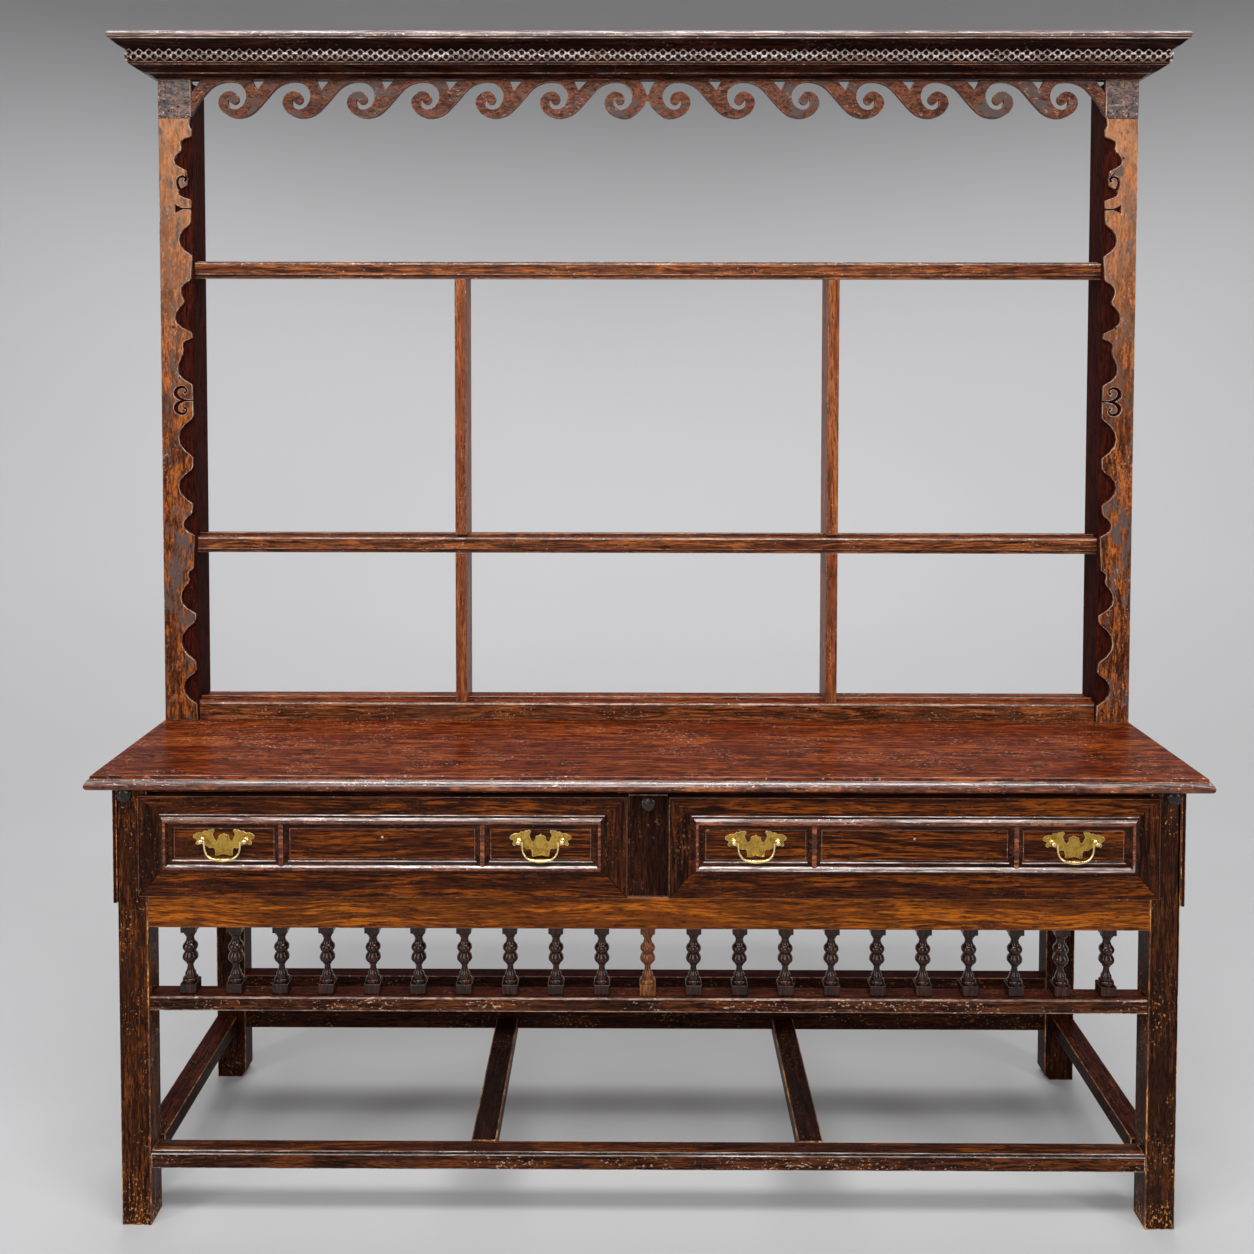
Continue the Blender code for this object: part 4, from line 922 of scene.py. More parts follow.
    def round_lobes(self, piece: bpy.types.Object) -> None:
        """Rounds the sawn corners of the fret between its bays.

        Args:
            piece: Copy of a pilaster.
        """
        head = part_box("fret_pilaster_left")[1].z - self.lobes_end

        def is_corner(edge: bmesh.types.BMEdge) -> bool:
            """Says whether an edge is such a corner.

            Args:
                edge: The edge.

            Returns:
                Whether it is one.
            """
            start, end = (vertex.co for vertex in edge.verts)
            if abs((end - start).normalized().y) < 0.99 or len(edge.link_faces) != 2 or start.z > head:
                return False
            room = min(face.calc_area() / edge.calc_length() for face in edge.link_faces)
            turned = edge.calc_face_angle_signed(0.0)
            return turned > math.radians(self.lobe_angle) and room > self.lobe_room * self.lobe

        with Bench.editing(piece):
            Bench.pick(piece, "EDGE", is_corner)
            bpy.ops.mesh.bevel(offset=self.lobe, segments=3, affect="EDGES", clamp_overlap=False)

    def stain_block(self, piece: bpy.types.Object) -> None:
        """Gives the block at the head of a pilaster its grey finish, a joint line under it and nails.

        Args:
            piece: Copy of the pilaster.
        """
        low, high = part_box(piece.name.removeprefix("worn_"))
        foot = high.z - self.block_foot
        Bench.cut_level(piece, foot, foot - self.joint)
        block, joint = Bench.coat(piece, Axis.ACROSS, BLOCK, CRACK)
        for face in piece.data.polygons:
            if face.center.z > foot and face.material_index == BODY:
                face.material_index = block
            elif foot - self.joint < face.center.z < foot and abs(face.normal.z) < self.upright:
                face.material_index = joint
        name = "nails_" + piece.name.rpartition("_")[2]
        studs = [Bench.stud(Vector((low.x + u * (high.x - low.x), low.y, high.z - drop)), *self.nail)
                 for u, drop in self.nails]
        Bench.deliver(Bench.join(studs, name), name, 60.0, "dresser", "fret", NAIL_IRON)

    def dry(self) -> None:
        """Gives the boards that the case hides their dry surface."""
        across = ("dust_board", *(f"drawer_{side}_{part}" for part in ("back", "bottom") for side in SIDES))
        back = tuple(node for node in frame["nodes"] if "runner" in node or "_side_" in node)
        for nodes, grain in ((("back_board",), Axis.UP), (across, Axis.ACROSS), (back, Axis.BACK)):
            for node in nodes:
                for place in frame["nodes"][node].material_slots:
                    place.material = DRY.material(grain)


# How far each ring of the top's nose is set in, then its share of the thickness, from the underside up
NOSE = (
    (0.0060, 0.0), (0.0032, 0.05), (0.0014, 0.13), (0.0004, 0.22), (0.0000, 0.32), (0.0005, 0.42),
    (0.0018, 0.53), (0.0036, 0.63), (0.0056, 0.71), (0.0074, 0.765), (0.0079, 0.80), (0.0083, 0.91),
    (0.0094, 0.97), (0.0112, 1.0), (0.0150, 1.0),
)
# Shares of the thickness between which the nose is rubbed and carries a painted highlight, and over which its
# upper arris is, which carries one as well
NOSE_HIGHLIGHT = (0.45, 0.765, 0.97)


class Tabletop:
    """The top of the base: one wide board with a rounded nose and a small step on three sides."""

    def build(self) -> None:
        """Builds the board and dresses it."""
        low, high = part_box("dresser_top")
        half, depth, thickness = high.x, high.y - low.y, high.z - low.z
        was, below = NOSE[0]
        board = Bench.sheet((0.0, high.y - (depth - was) / 2, low.z), (2 * (half - was), depth - was))
        with Bench.editing(board):
            for inset, share in NOSE[1:]:
                if share > below:
                    Bench.extrude(0.0, 0.0, (share - below) * thickness)
                else:
                    bpy.ops.mesh.inset(thickness=0.0)
                scale = ((half - inset) / (half - was), (depth - inset) / (depth - was), 1.0)
                bpy.ops.transform.resize(value=scale, center_override=(0.0, high.y, high.z))
                was, below = inset, share
            Bench.face_outwards()
        # The nose's upper round and its upper arris take a painted highlight over rubbed wear; below it the
        # nose is rubbed orange
        _, worn_highlight, rust = Bench.coat(board, Axis.ACROSS, TOP, WORN_HIGHLIGHT, RUST_EDGE)
        for face in board.data.polygons:
            rise = (face.center.z - low.z) / thickness
            if face.normal.y > SQUARE or abs(face.normal.z) > SQUARE:
                continue
            if NOSE_HIGHLIGHT[0] < rise < NOSE_HIGHLIGHT[1] or rise > NOSE_HIGHLIGHT[2]:
                face.material_index = worn_highlight
            elif rise < NOSE_HIGHLIGHT[0]:
                face.material_index = rust
        Bench.deliver(board, "top_board", 50.0, "dresser", "top")
        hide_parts("dresser_top")


# Drawers


@dataclass
class DrawerFace:
    """A drawer's front with its mitred surround, and the applied moulding.

    The lines of the moulding are the start and end of each, from its top or from its foot, and its finish.
    Lines in the glint or the worn highlight finish are painted highlights over rubbed wear, lines in the rust
    finish are rubbed orange.
    """

    side: str
    cover: float = 0.012
    round_by: float = 0.0007
    line: float = 0.0005
    run: float = 0.0225
    clear: float = 0.03
    divider_x: float = 0.173
    divider_width: float = 0.022
    bead: tuple[float, float, float] = (0.0022, 0.0012, 0.0005)
    pin: tuple[float, float, int] = (0.0022, 0.0012, 14)
    pin_height: float = 0.694
    side_line: tuple[float, float] = (0.0075, 0.0130)
    from_top: Sequence[tuple[float, float, Oak]] = (
        (-0.001, 0.0014, GLINT), (0.0040, 0.0082, GLINT), (0.0082, 0.0126, WORN_HIGHLIGHT),
        (0.0126, 0.0156, RUST_EDGE))
    from_foot: Sequence[tuple[float, float, Oak]] = (
        (0.0208, 0.0225, GLINT), (0.0124, 0.0158, GLINT), (0.0075, 0.0124, RUST_EDGE),
        (0.0030, 0.0042, WORN_HIGHLIGHT))

    def build(self, joinery: Joinery) -> None:
        """Builds the front and the moulding.

        Args:
            joinery: What copies and wears their nodes.
        """
        body = "drawer_" + self.side
        outer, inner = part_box(body + "_front"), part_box(body + "_moulding")
        front = joinery.copy_node(body + "_front")
        self.mitre(front, outer, inner)
        joinery.wear(front, Board((), DRAWER, Axis.ACROSS, "drawer", WORN_EDGE, 0.0009))
        self.stain_stiles(front, outer, inner)
        Bench.deliver(front, front.name, 40.0, body, "drawer")
        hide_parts(body + "_front")
        moulding = joinery.copy_node(body + "_moulding")
        board = Board((), MOULDING, Axis.ACROSS, "moulding", MOULDING, self.round_by, 0.004, 20.0)
        joinery.wear(moulding, board)
        self.stain_moulding(moulding, *inner)
        Bench.deliver(moulding, moulding.name, 50.0, body, "moulding")
        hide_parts(body + "_moulding")
        place = Vector(((inner[0].x + inner[1].x) / 2, outer[0].y, self.pin_height))
        Bench.deliver(Bench.stud(place, *self.pin), body + "_pin", 60.0, body, "brass", PIN_STEEL)
        self.beads(body, *inner, outer[0].y)

    def stain_moulding(self, piece: bpy.types.Object, low: Vector, high: Vector) -> None:
        """Gives the runs of the moulding their lines: painted highlights over rubbed wear, mostly on the
        faces that look up, and rubbed orange lines, with the dark body between.

        Args:
            piece: The moulding.
            low: Its lowest corner.
            high: Its highest.
        """
        Bench.cut_level(piece, high.z - self.from_top[0][1], low.z + self.from_foot[0][0])
        finishes = (WORN_HIGHLIGHT, RUST_EDGE, GLINT)
        places = dict(zip(finishes, Bench.coat(piece, Axis.ACROSS, *finishes)))
        for face in piece.data.polygons:
            drop, rise = high.z - face.center.z, face.center.z - low.z
            side = min(face.center.x - low.x, high.x - face.center.x)
            flat = face.normal.y < -SQUARE
            if abs(abs(face.center.x - (low.x + high.x) / 2) - self.divider_x) < self.divider_width / 2:
                face.material_index = places[RUST_EDGE] if flat else BODY
            elif side < min(drop, rise) or min(drop, rise) > self.clear:
                if flat and (side > self.clear or self.side_line[0] < side < self.side_line[1]):
                    face.material_index = places[RUST_EDGE]
            elif abs(face.normal.x) < ALONG and face.normal.y < -SLOPING:
                for lines, distance in ((self.from_foot, rise), (self.from_top, drop)):
                    for start, end, finish in lines:
                        if start < distance < end:
                            face.material_index = places[finish]

    def mitre(self, piece: bpy.types.Object, outer: Box, inner: Box) -> None:
        """Cuts the front along its mitre lines and under the moulding, to give its ends upright grain.

        Args:
            piece: The front.
            outer: Its two corners.
            inner: The moulding's two corners.
        """
        for place, s in zip(inner, (1.0, -1.0)):
            for normal in (Vector((s, 0.0, 0.0)), Vector((0.0, 0.0, s))):
                Bench.cut(piece, place + self.cover * normal, normal)
        for i, j in ((0, 0), (1, 0), (1, 1), (0, 1)):
            start = Vector((outer[i].x, outer[0].y, outer[j].z))
            end = Vector((inner[i].x, outer[0].y, inner[j].z))
            normal = (end - start).normalized().cross(-FORWARDS)
            for shift in (0.0, -self.line, self.line):
                Bench.cut(piece, start + shift * normal, normal)

    def stain_stiles(self, piece: bpy.types.Object, outer: Box, inner: Box) -> None:
        """Gives the faces between the mitre lines at both ends of a front upright grain.

        Args:
            piece: The front.
            outer: Its two corners.
            inner: The moulding's two corners.
        """
        (low, high), ends = outer, inner[0].x + self.cover - outer[0].x
        slope = (inner[0].z - low.z) / (inner[0].x - low.x)
        (stile,), (crack,) = Bench.coat(piece, Axis.UP, STILE), Bench.coat(piece, Axis.ACROSS, CRACK)
        for face in piece.data.polygons:
            run = min(face.center.x - low.x, high.x - face.center.x)
            rise = min(face.center.z - low.z, high.z - face.center.z)
            if face.material_index == BODY and face.normal.y < -SQUARE and run < ends:
                if abs(slope * run - rise) < 1.2 * self.line:
                    face.material_index = crack
                elif slope * run < rise:
                    face.material_index = stile

    def beads(self, body: str, low: Vector, high: Vector, face: float) -> None:
        """Lays the thin raised line inside the edge of each of the three panels.

        Args:
            body: The drawer.
            low: The moulding's lowest corner.
            high: Its highest.
            face: Depth of the front's face.
        """
        inset, width, rise = self.bead
        middle, room = (low.x + high.x) / 2, self.divider_width / 2
        ends = [s * self.divider_x + t * room for s in (-1, 1) for t in (-1, 1)]
        cuts = [low.x + self.run, *(middle + end for end in ends), high.x - self.run]
        rings = []
        for left, right in zip(cuts[::2], cuts[1::2]):
            size = (right - left - 2 * inset, high.z - low.z - 2 * (self.run + inset))
            ring = Bench.sheet(((left + right) / 2, face, (low.z + high.z) / 2), size, RIGHT_ANGLE)
            with Bench.editing(ring):
                bpy.ops.mesh.inset(thickness=width)
                bpy.ops.mesh.delete(type="ONLY_FACE")
                bpy.ops.mesh.select_all(action="SELECT")
                Bench.extrude(0.0, -rise, 0.0)
                Bench.face_outwards()
            rings.append(ring)
        name = body + "_beads"
        Bench.deliver(Bench.join(rings, name), name, 40.0, body, "moulding", WORN_EDGE, grain=Axis.ACROSS)


# Spindle gallery

# Share of a spindle's length and radius of each ring of its turning, from foot to head
TURNING = (
    (0.150, 0.0120), (0.168, 0.0132), (0.186, 0.0136), (0.204, 0.0130), (0.216, 0.0112), (0.219, 0.0098),
    (0.240, 0.0094), (0.262, 0.0095), (0.284, 0.0088), (0.300, 0.0074), (0.330, 0.0061), (0.365, 0.0052),
    (0.395, 0.0050), (0.410, 0.0054), (0.413, 0.0070), (0.425, 0.0075), (0.437, 0.0071), (0.440, 0.0086),
    (0.458, 0.0110), (0.480, 0.0128), (0.505, 0.0135), (0.530, 0.0131), (0.555, 0.0117), (0.575, 0.0101),
    (0.588, 0.0096), (0.602, 0.0102), (0.622, 0.0120), (0.645, 0.0132), (0.668, 0.0132), (0.690, 0.0120),
    (0.708, 0.0102), (0.722, 0.0086), (0.750, 0.0073), (0.785, 0.0065), (0.808, 0.0066), (0.811, 0.0080),
    (0.823, 0.0084), (0.835, 0.0080), (0.838, 0.0094), (0.852, 0.0110), (0.870, 0.0114), (0.888, 0.0106),
)


@dataclass
class Gallery:
    """The low rail with its row of turned spindles."""

    count: int = 21
    end_gap: float = 0.065
    axis_depth: float = 0.022
    block: float = 0.028
    foot_height: float = 0.0190
    foot_sink: float = 0.0005
    head_height: float = 0.0140
    head_inset: float = 0.001
    foot_round: float = 0.0014
    head_round: float = 0.0012
    rail_height: float = 0.025
    rail_round: float = 0.0026
    level: float = 0.9
    facets: int = 20

    def spindle(self, low: float, high: float, y: float) -> bpy.types.Object:
        """Turns one spindle in the middle of the gallery.

        Args:
            low: Height of its foot.
            high: Height of its head.
            y: Depth of its axis.

        Returns:
            The spindle.
        """
        rings = [(share * (high - low), radius) for share, radius in TURNING]
        turned = Bench.turn(Vector((0.0, y, low)), UPWARDS, rings, self.facets)
        half = self.block / 2
        foot = Bench.block((-half, y - half, low - self.foot_sink),
                           (half, y + half, low + self.foot_height), self.foot_round)
        half -= self.head_inset
        head = Bench.block((-half, y - half, high - self.head_height),
                           (half, y + half, high), self.head_round)
        return Bench.join([turned, foot, head], "gallery_spindle")

    def build(self) -> None:
        """Builds rail and spindles and dresses them."""
        low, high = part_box("spindle_gallery")
        rail_top = low.z + self.rail_height
        rail = Bench.block(low, (high.x, high.y, rail_top), self.rail_round)
        _, pale, shaded = Bench.coat(rail, Axis.ACROSS, RAIL, PALE_WEAR_AND_HIGHLIGHT, SHADE)
        # The rail's rounded front arrises take the pale edge finish, a painted highlight over rubbed wear;
        # its top takes its own finish
        for face in rail.data.polygons:
            if face.normal.y < -ALONG and abs(face.normal.z) > ALONG:
                face.material_index = pale
            elif face.normal.z > self.level:
                face.material_index = shaded
        Bench.deliver(rail, "gallery_rail", 40.0, "dresser", "spindle")
        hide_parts("spindle_gallery")
        first = self.spindle(rail_top, high.z, low.y + self.axis_depth)
        last, middle = high.x - self.end_gap, self.count // 2
        row = [Bench.copy_mesh(first, (last * (2 * i / (self.count - 1) - 1), 0.0, 0.0))
               for i in range(self.count) if i != middle]
        row = Bench.join(row, "gallery_spindles")
        Bench.deliver(row, row.name, 50.0, "dresser", "spindle", SPINDLE, grain=Axis.UP)
        Bench.deliver(first, "gallery_spindle_pale", 50.0, "dresser", "spindle", PALE_SPINDLE, grain=Axis.UP)


# Cornice


@dataclass
class Cornice:
    """The cornice with its carved band of two rows of round hollows.

    Heights are over its foot, and depths in front of the rack. Each step of a hollow is an inset with its
    depth, which is sunk where it is more than this, and part of the rim where it is less.
    """

    setback: float = 0.001
    band_low: float = 0.0245
    band_high: float = 0.0478
    pitch: float = 0.0193
    hollow: float = 0.0046
    steps: Sequence[tuple[float, float]] = ((0.0009, 0.0007), (0.0007, -0.0020), (0.0007, -0.0034))
    sunk: float = 0.0005
    rim: float = 0.0010
    ground: float = 0.0395
    face: float = 0.0462
    nosing: float = 0.0040
    nosing_foot: float = 0.0660
    swell: float = 0.02
    overhang: float = 0.05
    low_line: tuple[float, float] = (0.0078, 0.0094)
    high_line: tuple[float, float] = (0.0620, 0.0636)

    def clear_band(self, piece: bpy.types.Object, foot: float, front: float, turn: float) -> None:
        """Moves the band's swell back to a flat ground, so that the carving stands on it.

        Args:
            piece: Copy of a length of cornice.
            foot: Height of the cornice's foot.
            front: Y of the rack's front.
            turn: X of the rack's side, where the corner's mitre starts.
        """
        for vertex in piece.data.vertices:
            if not self.band_low < vertex.co.z - foot < self.band_high - 0.001:
                continue
            if vertex.co.y < front - self.swell:
                vertex.co.y = front - self.ground
            if abs(vertex.co.x) > turn + self.swell:
                vertex.co.x = math.copysign(turn + self.ground, vertex.co.x)

    def cell(self, pitch: float, height: float, grain: Axis) -> bpy.types.Object:
        """Carves one repeat: an upper and a lower round hollow, each in a lozenge of its own.

        Args:
            pitch: Width of the repeat.
            height: Height of the band.
            grain: Direction of its grain.

        Returns:
            The repeat, seen from the front, with its lower left corner at the origin.
        """
        half = height / 3
        hollows = []
        for x, z in ((pitch / 2, 2 * half), (pitch, half)):
            Bench.take()
            bpy.ops.mesh.primitive_circle_add(vertices=16, radius=1.0, fill_type="NGON", location=(x, 0.0, z),
                                              rotation=(RIGHT_ANGLE, 0.0, 0.0))
            hollow = bpy.context.object
            for vertex in hollow.data.vertices:
                vertex.co /= abs(vertex.co.x) + abs(vertex.co.y)
            hollow.scale = (pitch / 2, half, 1.0)
            Bench.apply()
            with Bench.editing(hollow):
                for inset, depth in self.steps:
                    bpy.ops.mesh.inset(thickness=inset, depth=depth)
            for vertex in hollow.data.vertices:
                if vertex.co.y > self.sunk:
                    spoke = Vector((vertex.co.x - x, 0.0, vertex.co.z - z))
                    vertex.co += (self.hollow / spoke.length - 1.0) * spoke
            # The rim round each hollow takes the glint finish, a painted highlight on the raised carving; the
            # hollows keep the cornice's own finish
            inside, outside = Bench.coat(hollow, grain, CORNICE, GLINT)
            for face in hollow.data.polygons:
                face.material_index = outside if face.center.y < self.rim else inside
            hollows.append(hollow)
        return Bench.join(hollows, "carved_repeat")

    def run(self, length: float, name: str, grain: Axis, place: Matrix) -> None:
        """Repeats the carving along a length of band, cut off square at both ends, and dresses it.

        Args:
            length: Length of the band.
            name: Name of the piece.
            grain: Direction of its grain.
            place: Where the band goes, from lying along X from the origin.
        """
        repeats = round(length / self.pitch)
        pitch = length / repeats
        first = self.cell(pitch, self.band_high - self.band_low, grain)
        row = [first, *(Bench.copy_mesh(first, (i * pitch, 0.0, 0.0)) for i in (-1, *range(1, repeats)))]
        band = Bench.join(row, name)
        with Bench.editing(band):
            bpy.ops.mesh.remove_doubles(threshold=0.0001)
        for end, outwards in ((0.0, -1.0), (length, 1.0)):
            Bench.cut(band, (end, 0.0, 0.0), (outwards, 0.0, 0.0), trim=True)
        with Bench.editing(band):
            Bench.pick(band, "EDGE", lambda edge: edge.is_boundary)
            Bench.extrude(0.0, self.face - self.ground, 0.0)
        band.data.transform(place)
        Bench.deliver(band, name, 60.0, "dresser", "cornice")

    def round_nosing(self, piece: bpy.types.Object, top: float) -> None:
        """Rounds the uppermost arris of a length of cornice.

        Args:
            piece: Copy of the length.
            top: Height of the arris.
        """
        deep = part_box("fret_pilaster_left")[0].y - self.overhang
        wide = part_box("fret_pilaster_right")[1].x + self.overhang

        def is_nose(edge: bmesh.types.BMEdge) -> bool:
            """Says whether an edge belongs to that arris."""
            return all(v.co.z > top - 0.0003 and (v.co.y < deep or abs(v.co.x) > wide) for v in edge.verts)

        with Bench.editing(piece):
            Bench.pick(piece, "EDGE", is_nose)
            bpy.ops.mesh.bevel(offset=self.nosing, segments=4, affect="EDGES", clamp_overlap=False)

    def rub(self, piece: bpy.types.Object, foot: float, grain: Axis) -> None:
        """Gives the nosing and the thin line at the ogee's foot painted highlights over rubbed wear,
        brightest on the nosing's faces that look up, and the thin line at its foot its worn arris finish.

        Args:
            piece: Copy of a length of cornice.
            foot: Height of the cornice's foot.
            grain: Direction of its grain.
        """
        Bench.cut_level(piece, *(foot + rise for rise in (*self.low_line, *self.high_line)))
        worn_highlight, glint = Bench.coat(piece, grain, WORN_HIGHLIGHT, GLINT)
        for face in piece.data.polygons:
            rise = face.center.z - foot
            if rise > self.nosing_foot and abs(face.normal.z) < SQUARE:
                face.material_index = glint if face.normal.z > ALONG else worn_highlight
            elif self.high_line[0] < rise < self.high_line[1]:
                face.material_index = glint
            elif self.low_line[0] < rise < self.low_line[1]:
                face.material_index = ARRIS
            elif rise > self.high_line[1]:
                face.material_index = BODY

    def build(self, joinery: Joinery) -> None:
        """Builds the cornice and its band and dresses them.

        Args:
            joinery: What copies and wears the cornice's nodes.
        """
        foot, top = (corner.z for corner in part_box("cornice_front"))
        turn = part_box("fret_pilaster_right")[1].x
        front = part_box("fret_pilaster_left")[0].y + self.setback
        for node, grain in (("cornice_front", Axis.ACROSS), ("cornice_return_left", Axis.BACK),
                            ("cornice_return_right", Axis.BACK)):
            piece = joinery.copy_node(node)
            self.clear_band(piece, foot, front, turn)
            self.round_nosing(piece, top)
            joinery.wear(piece, Board((), CORNICE, grain, "cornice", WORN_EDGE, 0.0007, 0.01, 18.0))
            self.rub(piece, foot, grain)
            Bench.deliver(piece, piece.name, 50.0, "dresser", "cornice")
            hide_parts(node)
        low, wide, deep = foot + self.band_low, turn + self.face, front - self.face
        self.run(2 * wide, "carved_band_front", Axis.ACROSS, Matrix.Translation((-wide, deep, low)))
        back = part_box("cornice_return_right")[1].y
        for side, s in SIDES.items():
            turned = Matrix.Rotation(s * RIGHT_ANGLE, 4, "Z")
            place = Matrix.Translation((s * wide, back if s < 0 else deep, low)) @ turned
            self.run(back - deep, "carved_band_" + side, Axis.BACK, place)


# Handles

# Right half of a back plate, from the middle of its dome clockwise, about the line of the posts
WING = (
    (0.0, 0.0112), (0.0030, 0.0094), (0.0060, 0.0082), (0.0090, 0.0072), (0.0088, 0.0040), (0.0098, 0.0010),
    (0.0112, -0.0012), (0.0128, -0.0026), (0.0146, -0.0016), (0.0160, 0.0008), (0.0172, 0.0040),
    (0.0188, 0.0072), (0.0190, 0.0100), (0.0178, 0.0126), (0.0160, 0.0150), (0.0166, 0.0172),
    (0.0190, 0.0180), (0.0212, 0.0182), (0.0224, 0.0168), (0.0246, 0.0176), (0.0272, 0.0166),
    (0.0290, 0.0146), (0.0314, 0.0154), (0.0340, 0.0152), (0.0364, 0.0136), (0.0384, 0.0120),
    (0.0416, 0.0126), (0.0452, 0.0120), (0.0490, 0.0104), (0.0520, 0.0082), (0.0534, 0.0056),
    (0.0526, 0.0030), (0.0504, 0.0014), (0.0476, 0.0004), (0.0464, -0.0014), (0.0478, -0.0038),
    (0.0486, -0.0064), (0.0474, -0.0086), (0.0450, -0.0096), (0.0428, -0.0086), (0.0404, -0.0076),
    (0.0372, -0.0082), (0.0340, -0.0092), (0.0310, -0.0100), (0.0284, -0.0118), (0.0262, -0.0142),
    (0.0240, -0.0152), (0.0214, -0.0150), (0.0190, -0.0146), (0.0172, -0.0152), (0.0160, -0.0170),
    (0.0152, -0.0200), (0.0150, -0.0240), (0.0152, -0.0274), (0.0120, -0.0280), (0.0080, -0.0274),
    (0.0040, -0.0262), (0.0, -0.0256),
)
# Height over the plate and radius of each ring of a post
POST = (
    (0.0, 0.0052), (0.0010, 0.0053), (0.0022, 0.0046), (0.0032, 0.0032), (0.0054, 0.0029), (0.0064, 0.0036),
    (0.0076, 0.0046), (0.0092, 0.0049), (0.0108, 0.0044), (0.0120, 0.0032), (0.0128, 0.0016),
)
# Left half of a bail: share of its half width, share of its drop and thickness at each point of the wire
BAIL = (
    (1.0, 0.0, 1.25), (1.0, 0.18, 1.0), (0.985, 0.40, 1.0), (0.93, 0.60, 1.0), (0.82, 0.78, 1.05),
    (0.66, 0.90, 1.15), (0.48, 0.965, 1.35), (0.28, 0.99, 1.65), (0.12, 1.0, 1.85), (0.0, 1.0, 1.94),
)


@dataclass
class Handle:
    """A bat-wing back plate with two posts, and its swinging bail."""

    drawer: str
    side: str
    thickness: float = 0.0020
    edge: float = 0.0006
    spacing: float = 0.0755
    wire: float = 0.0017
    swell: float = 0.0033

    def plate(self, centre: Vector) -> bpy.types.Object:
        """Cuts the plate out, rounds its edge and raises its face.

        Args:
            centre: Point on the drawer's face, halfway between the posts.

        Returns:
            The plate.
        """
        outline = WING + tuple((-u, v) for u, v in reversed(WING[1:-1]))
        Bench.take()
        bpy.ops.mesh.primitive_circle_add(vertices=len(outline), radius=0.02, fill_type="NGON")
        piece = bpy.context.object
        for vertex, (u, v) in zip(piece.data.vertices, outline):
            vertex.co = centre + Vector((u, 0.0, v))
        with Bench.editing(piece):
            Bench.extrude(0.0, -self.thickness, 0.0)
            Bench.face_outwards()
            Bench.pick(piece, "FACE", lambda face: face.normal.y < -SQUARE)
            bpy.ops.mesh.bevel(offset=self.edge, segments=2, affect="EDGES", clamp_overlap=True)
        flat, rim = Bench.coat(piece, None, HANDLE_BRASS, BRIGHT_BRASS)
        for face in piece.data.polygons:
            face.material_index = flat if face.normal.y < -SQUARE else rim
        return piece

    def bail(self, low: Vector, high: Vector) -> bpy.types.Object:
        """Bends the bail as a round wire that swells in its middle.

        Args:
            low: Lowest corner of the bail's solid.
            high: Its highest corner.

        Returns:
            The bail.
        """
        half = (high.x - low.x) / 2 - self.wire
        middle = (low + high) / 2
        top, drop = high.z - self.wire, high.z - low.z - self.wire - self.swell
        path = BAIL + tuple((-u, v, r) for u, v, r in reversed(BAIL[:-1]))
        curve = bpy.data.curves.new("bail", "CURVE")
        curve.dimensions = "3D"
        curve.bevel_depth = self.wire
        curve.bevel_resolution = 4
        curve.resolution_u = 4
        curve.use_fill_caps = True
        spline = curve.splines.new("NURBS")
        spline.points.add(len(path) - 1)
        spline.use_endpoint_u = True
        spline.order_u = 4
        for point, (u, v, r) in zip(spline.points, path):
            point.co = (middle.x + u * half, middle.y, top - v * drop, 1.0)
            point.radius = r
        wire = bpy.data.objects.new("bail", curve)
        bpy.context.scene.collection.objects.link(wire)
        Bench.take(wire)
        bpy.ops.object.convert(target="MESH")
        return bpy.context.object

    def build(self) -> None:
        """Builds the handle and dresses it."""
        body = "drawer_" + self.drawer
        name = f"{body}_handle_{self.side}"
        low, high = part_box(name + "_plate")
        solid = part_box(name + "_bail")
        centre = Vector(((low.x + high.x) / 2, high.y, solid[1].z - self.wire))
        pieces = [self.plate(centre)]
        for s in SIDES.values():
            foot = centre + Vector((s * self.spacing / 2, -self.thickness, 0.0))
            pieces.append(Bench.turn(foot, FORWARDS, POST, 18))
            Bench.coat(pieces[-1], None, BRIGHT_BRASS)
        back = Bench.join(pieces, name + "_back")
        Bench.deliver(back, name + "_back", 35.0, body, "brass")
        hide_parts(name + "_plate")
        wire = self.bail(*solid)
        swings = f"{body}_bail_{self.side}"
        Bench.deliver(wire, name + "_wire", 60.0, swings, "brass", BRIGHT_BRASS)
        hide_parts(name + "_bail")


# Studio


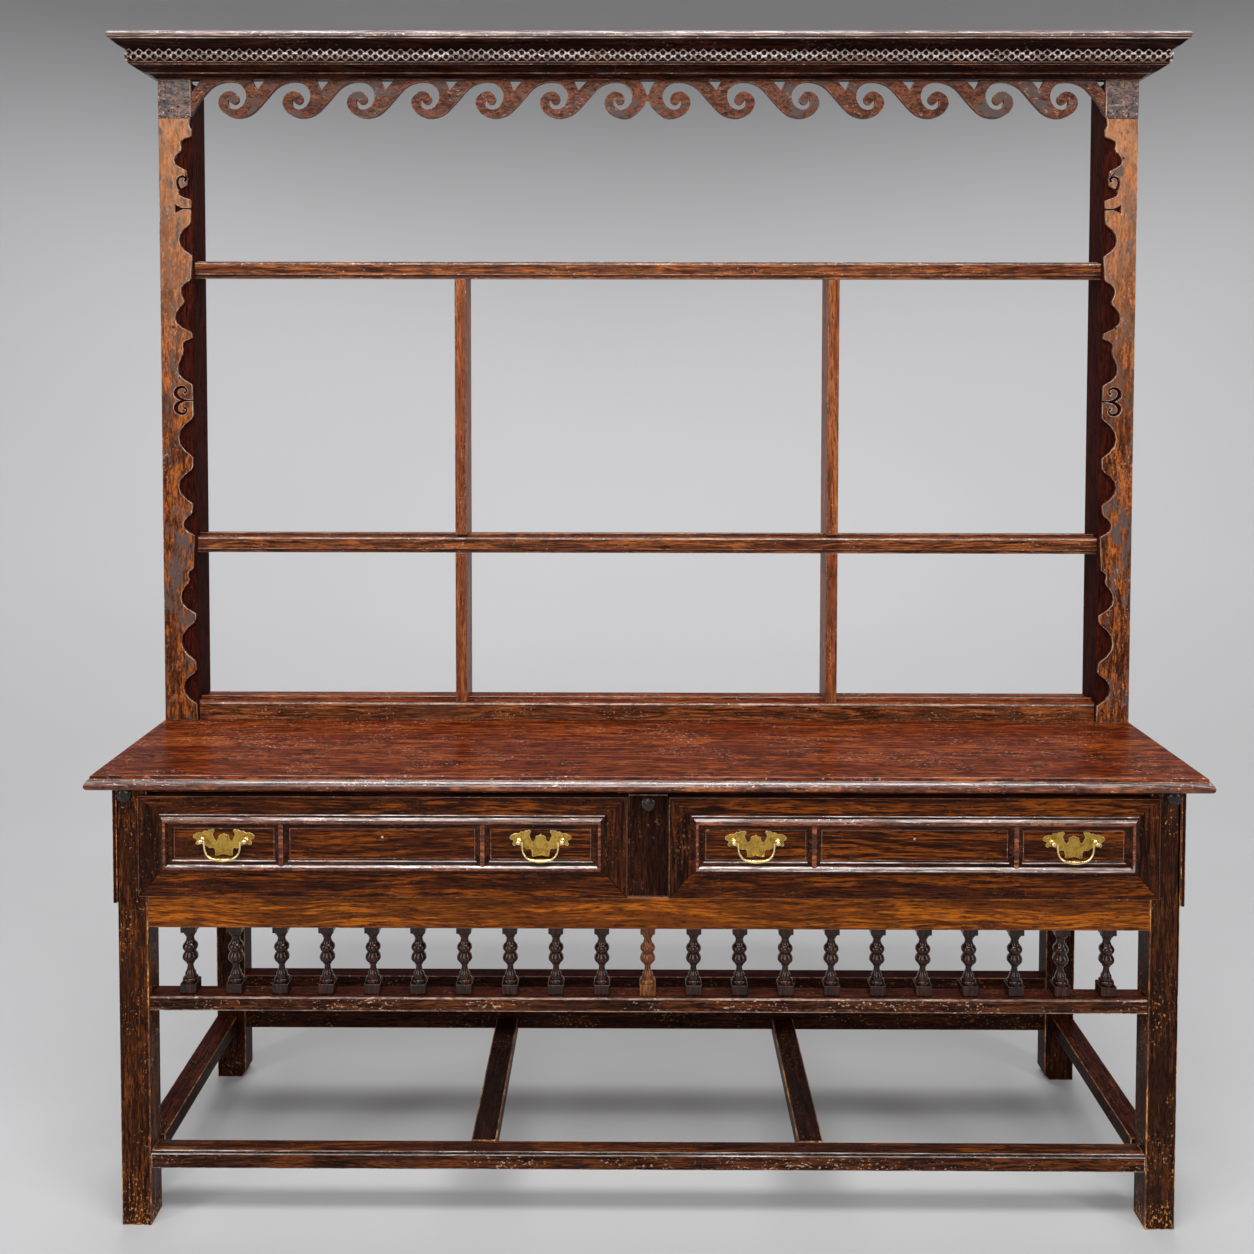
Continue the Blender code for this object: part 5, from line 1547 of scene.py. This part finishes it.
@dataclass
class Studio:
    """Pale floor that rises into a round backdrop, soft lamps and the camera.

    Each lamp has a name, a place, a point that it looks at, its width and height, and its power in watts.
    """

    floor: Colour = (0.58, 0.58, 0.59)
    radius: float = 3.2
    sweep: float = 5.5
    wall: float = 7.5
    reach: float = 9.5
    parts: int = 120
    sky: float = 0.20
    aim: Point = (0.0, 0.0, 0.95)
    focal: float = 1199.258
    frame_width: float = 1254.0
    sensor: float = 36.0
    shift: float = -0.17
    stand: Point = (-0.02867, -2.27976, 1.49641)
    pitch: float = 0.03544
    yaw: float = -0.00435
    roll: float = 0.00151

    def build(self) -> None:
        """Builds the whole stage."""
        self.backdrop()
        self.world()
        for name, place, aim, size, power in (
            ("overhead", (0.0, -1.7, 3.3), self.aim, (3.4, 0.6), 84.0),
            ("front", (-0.6, -4.3, 2.1), self.aim, (2.2, 2.2), 62.0),
            ("side_left", (-3.0, -1.9, 1.6), self.aim, (0.5, 1.8), 26.0),
            ("side_right", (3.0, -1.9, 1.6), self.aim, (0.5, 1.8), 26.0),
            ("back", (0.0, 3.2, 4.2), (0.0, 3.0, 0.0), (6.0, 2.0), 150.0),
        ):
            light = bpy.data.lights.new(name, "AREA")
            light.shape = "RECTANGLE"
            light.size, light.size_y = size
            light.energy = power
            lamp = bpy.data.objects.new(name, light)
            lamp.location = place
            lamp.rotation_euler = (Vector(aim) - Vector(place)).to_track_quat("-Z", "Y").to_euler()
            bpy.context.scene.collection.objects.link(lamp)
        self.camera()

    def backdrop(self) -> None:
        """Sweeps the floor up into a wall all round."""
        Bench.take()
        bpy.ops.mesh.primitive_grid_add(
            x_subdivisions=self.parts, y_subdivisions=self.parts, size=2 * self.reach)
        piece = bpy.context.object
        for vertex in piece.data.vertices:
            out = min(max(vertex.co.xy.length - self.radius, 0.0) / self.sweep, 1.0)
            vertex.co.z = self.wall * out * out
        Bench.settle(piece, "floor", 80.0)
        graph = Graph("studio_floor")
        tone = graph.noise(graph.place(), (0.6,) * 3, 2.0)
        colour = graph.mix(self.floor, shade(self.floor, 0.93), tone)
        piece.data.materials.append(graph.close({"Base Color": colour, "Roughness": 0.8}, tone, 0.0001))

    def world(self) -> None:
        """Sets the soft light from above."""
        world = bpy.data.worlds.new("studio")
        world.use_nodes = True
        background = world.node_tree.nodes["Background"]
        background.inputs["Color"].default_value = (1.0, 1.0, 1.0, 1.0)
        background.inputs["Strength"].default_value = self.sky
        bpy.context.scene.world = world

    def camera(self) -> None:
        """Sets the camera where the photograph was taken from."""
        level = Vector((math.cos(self.yaw), -math.sin(self.yaw), 0.0))
        ahead = Vector((math.sin(self.yaw), math.cos(self.yaw), 0.0))
        forward = math.cos(self.pitch) * ahead - math.sin(self.pitch) * UPWARDS
        upright = level.cross(forward)
        right = math.cos(self.roll) * level + math.sin(self.roll) * upright
        up = math.cos(self.roll) * upright - math.sin(self.roll) * level
        data = bpy.data.cameras.new("camera")
        data.sensor_width = self.sensor
        data.lens = self.sensor * self.focal / self.frame_width
        data.shift_y = self.shift
        camera = bpy.data.objects.new("camera", data)
        turn = Matrix((right, up, -forward)).transposed().to_4x4()
        camera.matrix_world = Matrix.Translation(self.stand) @ turn
        bpy.context.scene.collection.objects.link(camera)
        bpy.context.scene.camera = camera


def main() -> None:
    """Builds the dresser's looks piece by piece."""
    logging.basicConfig(level=logging.INFO, format="%(message)s")
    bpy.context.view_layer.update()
    bpy.context.scene.view_settings.view_transform = "Standard"
    joinery = Joinery()
    joinery.build()
    Tabletop().build()
    joinery.dry()
    for side in SIDES:
        DrawerFace(side).build(joinery)
    Gallery().build()
    Cornice().build(joinery)
    for drawer in SIDES:
        for side in SIDES:
            Handle(drawer, side).build()
    Studio().build()
    log.info("all pieces are in place")


if __name__ == "__main__":
    main()
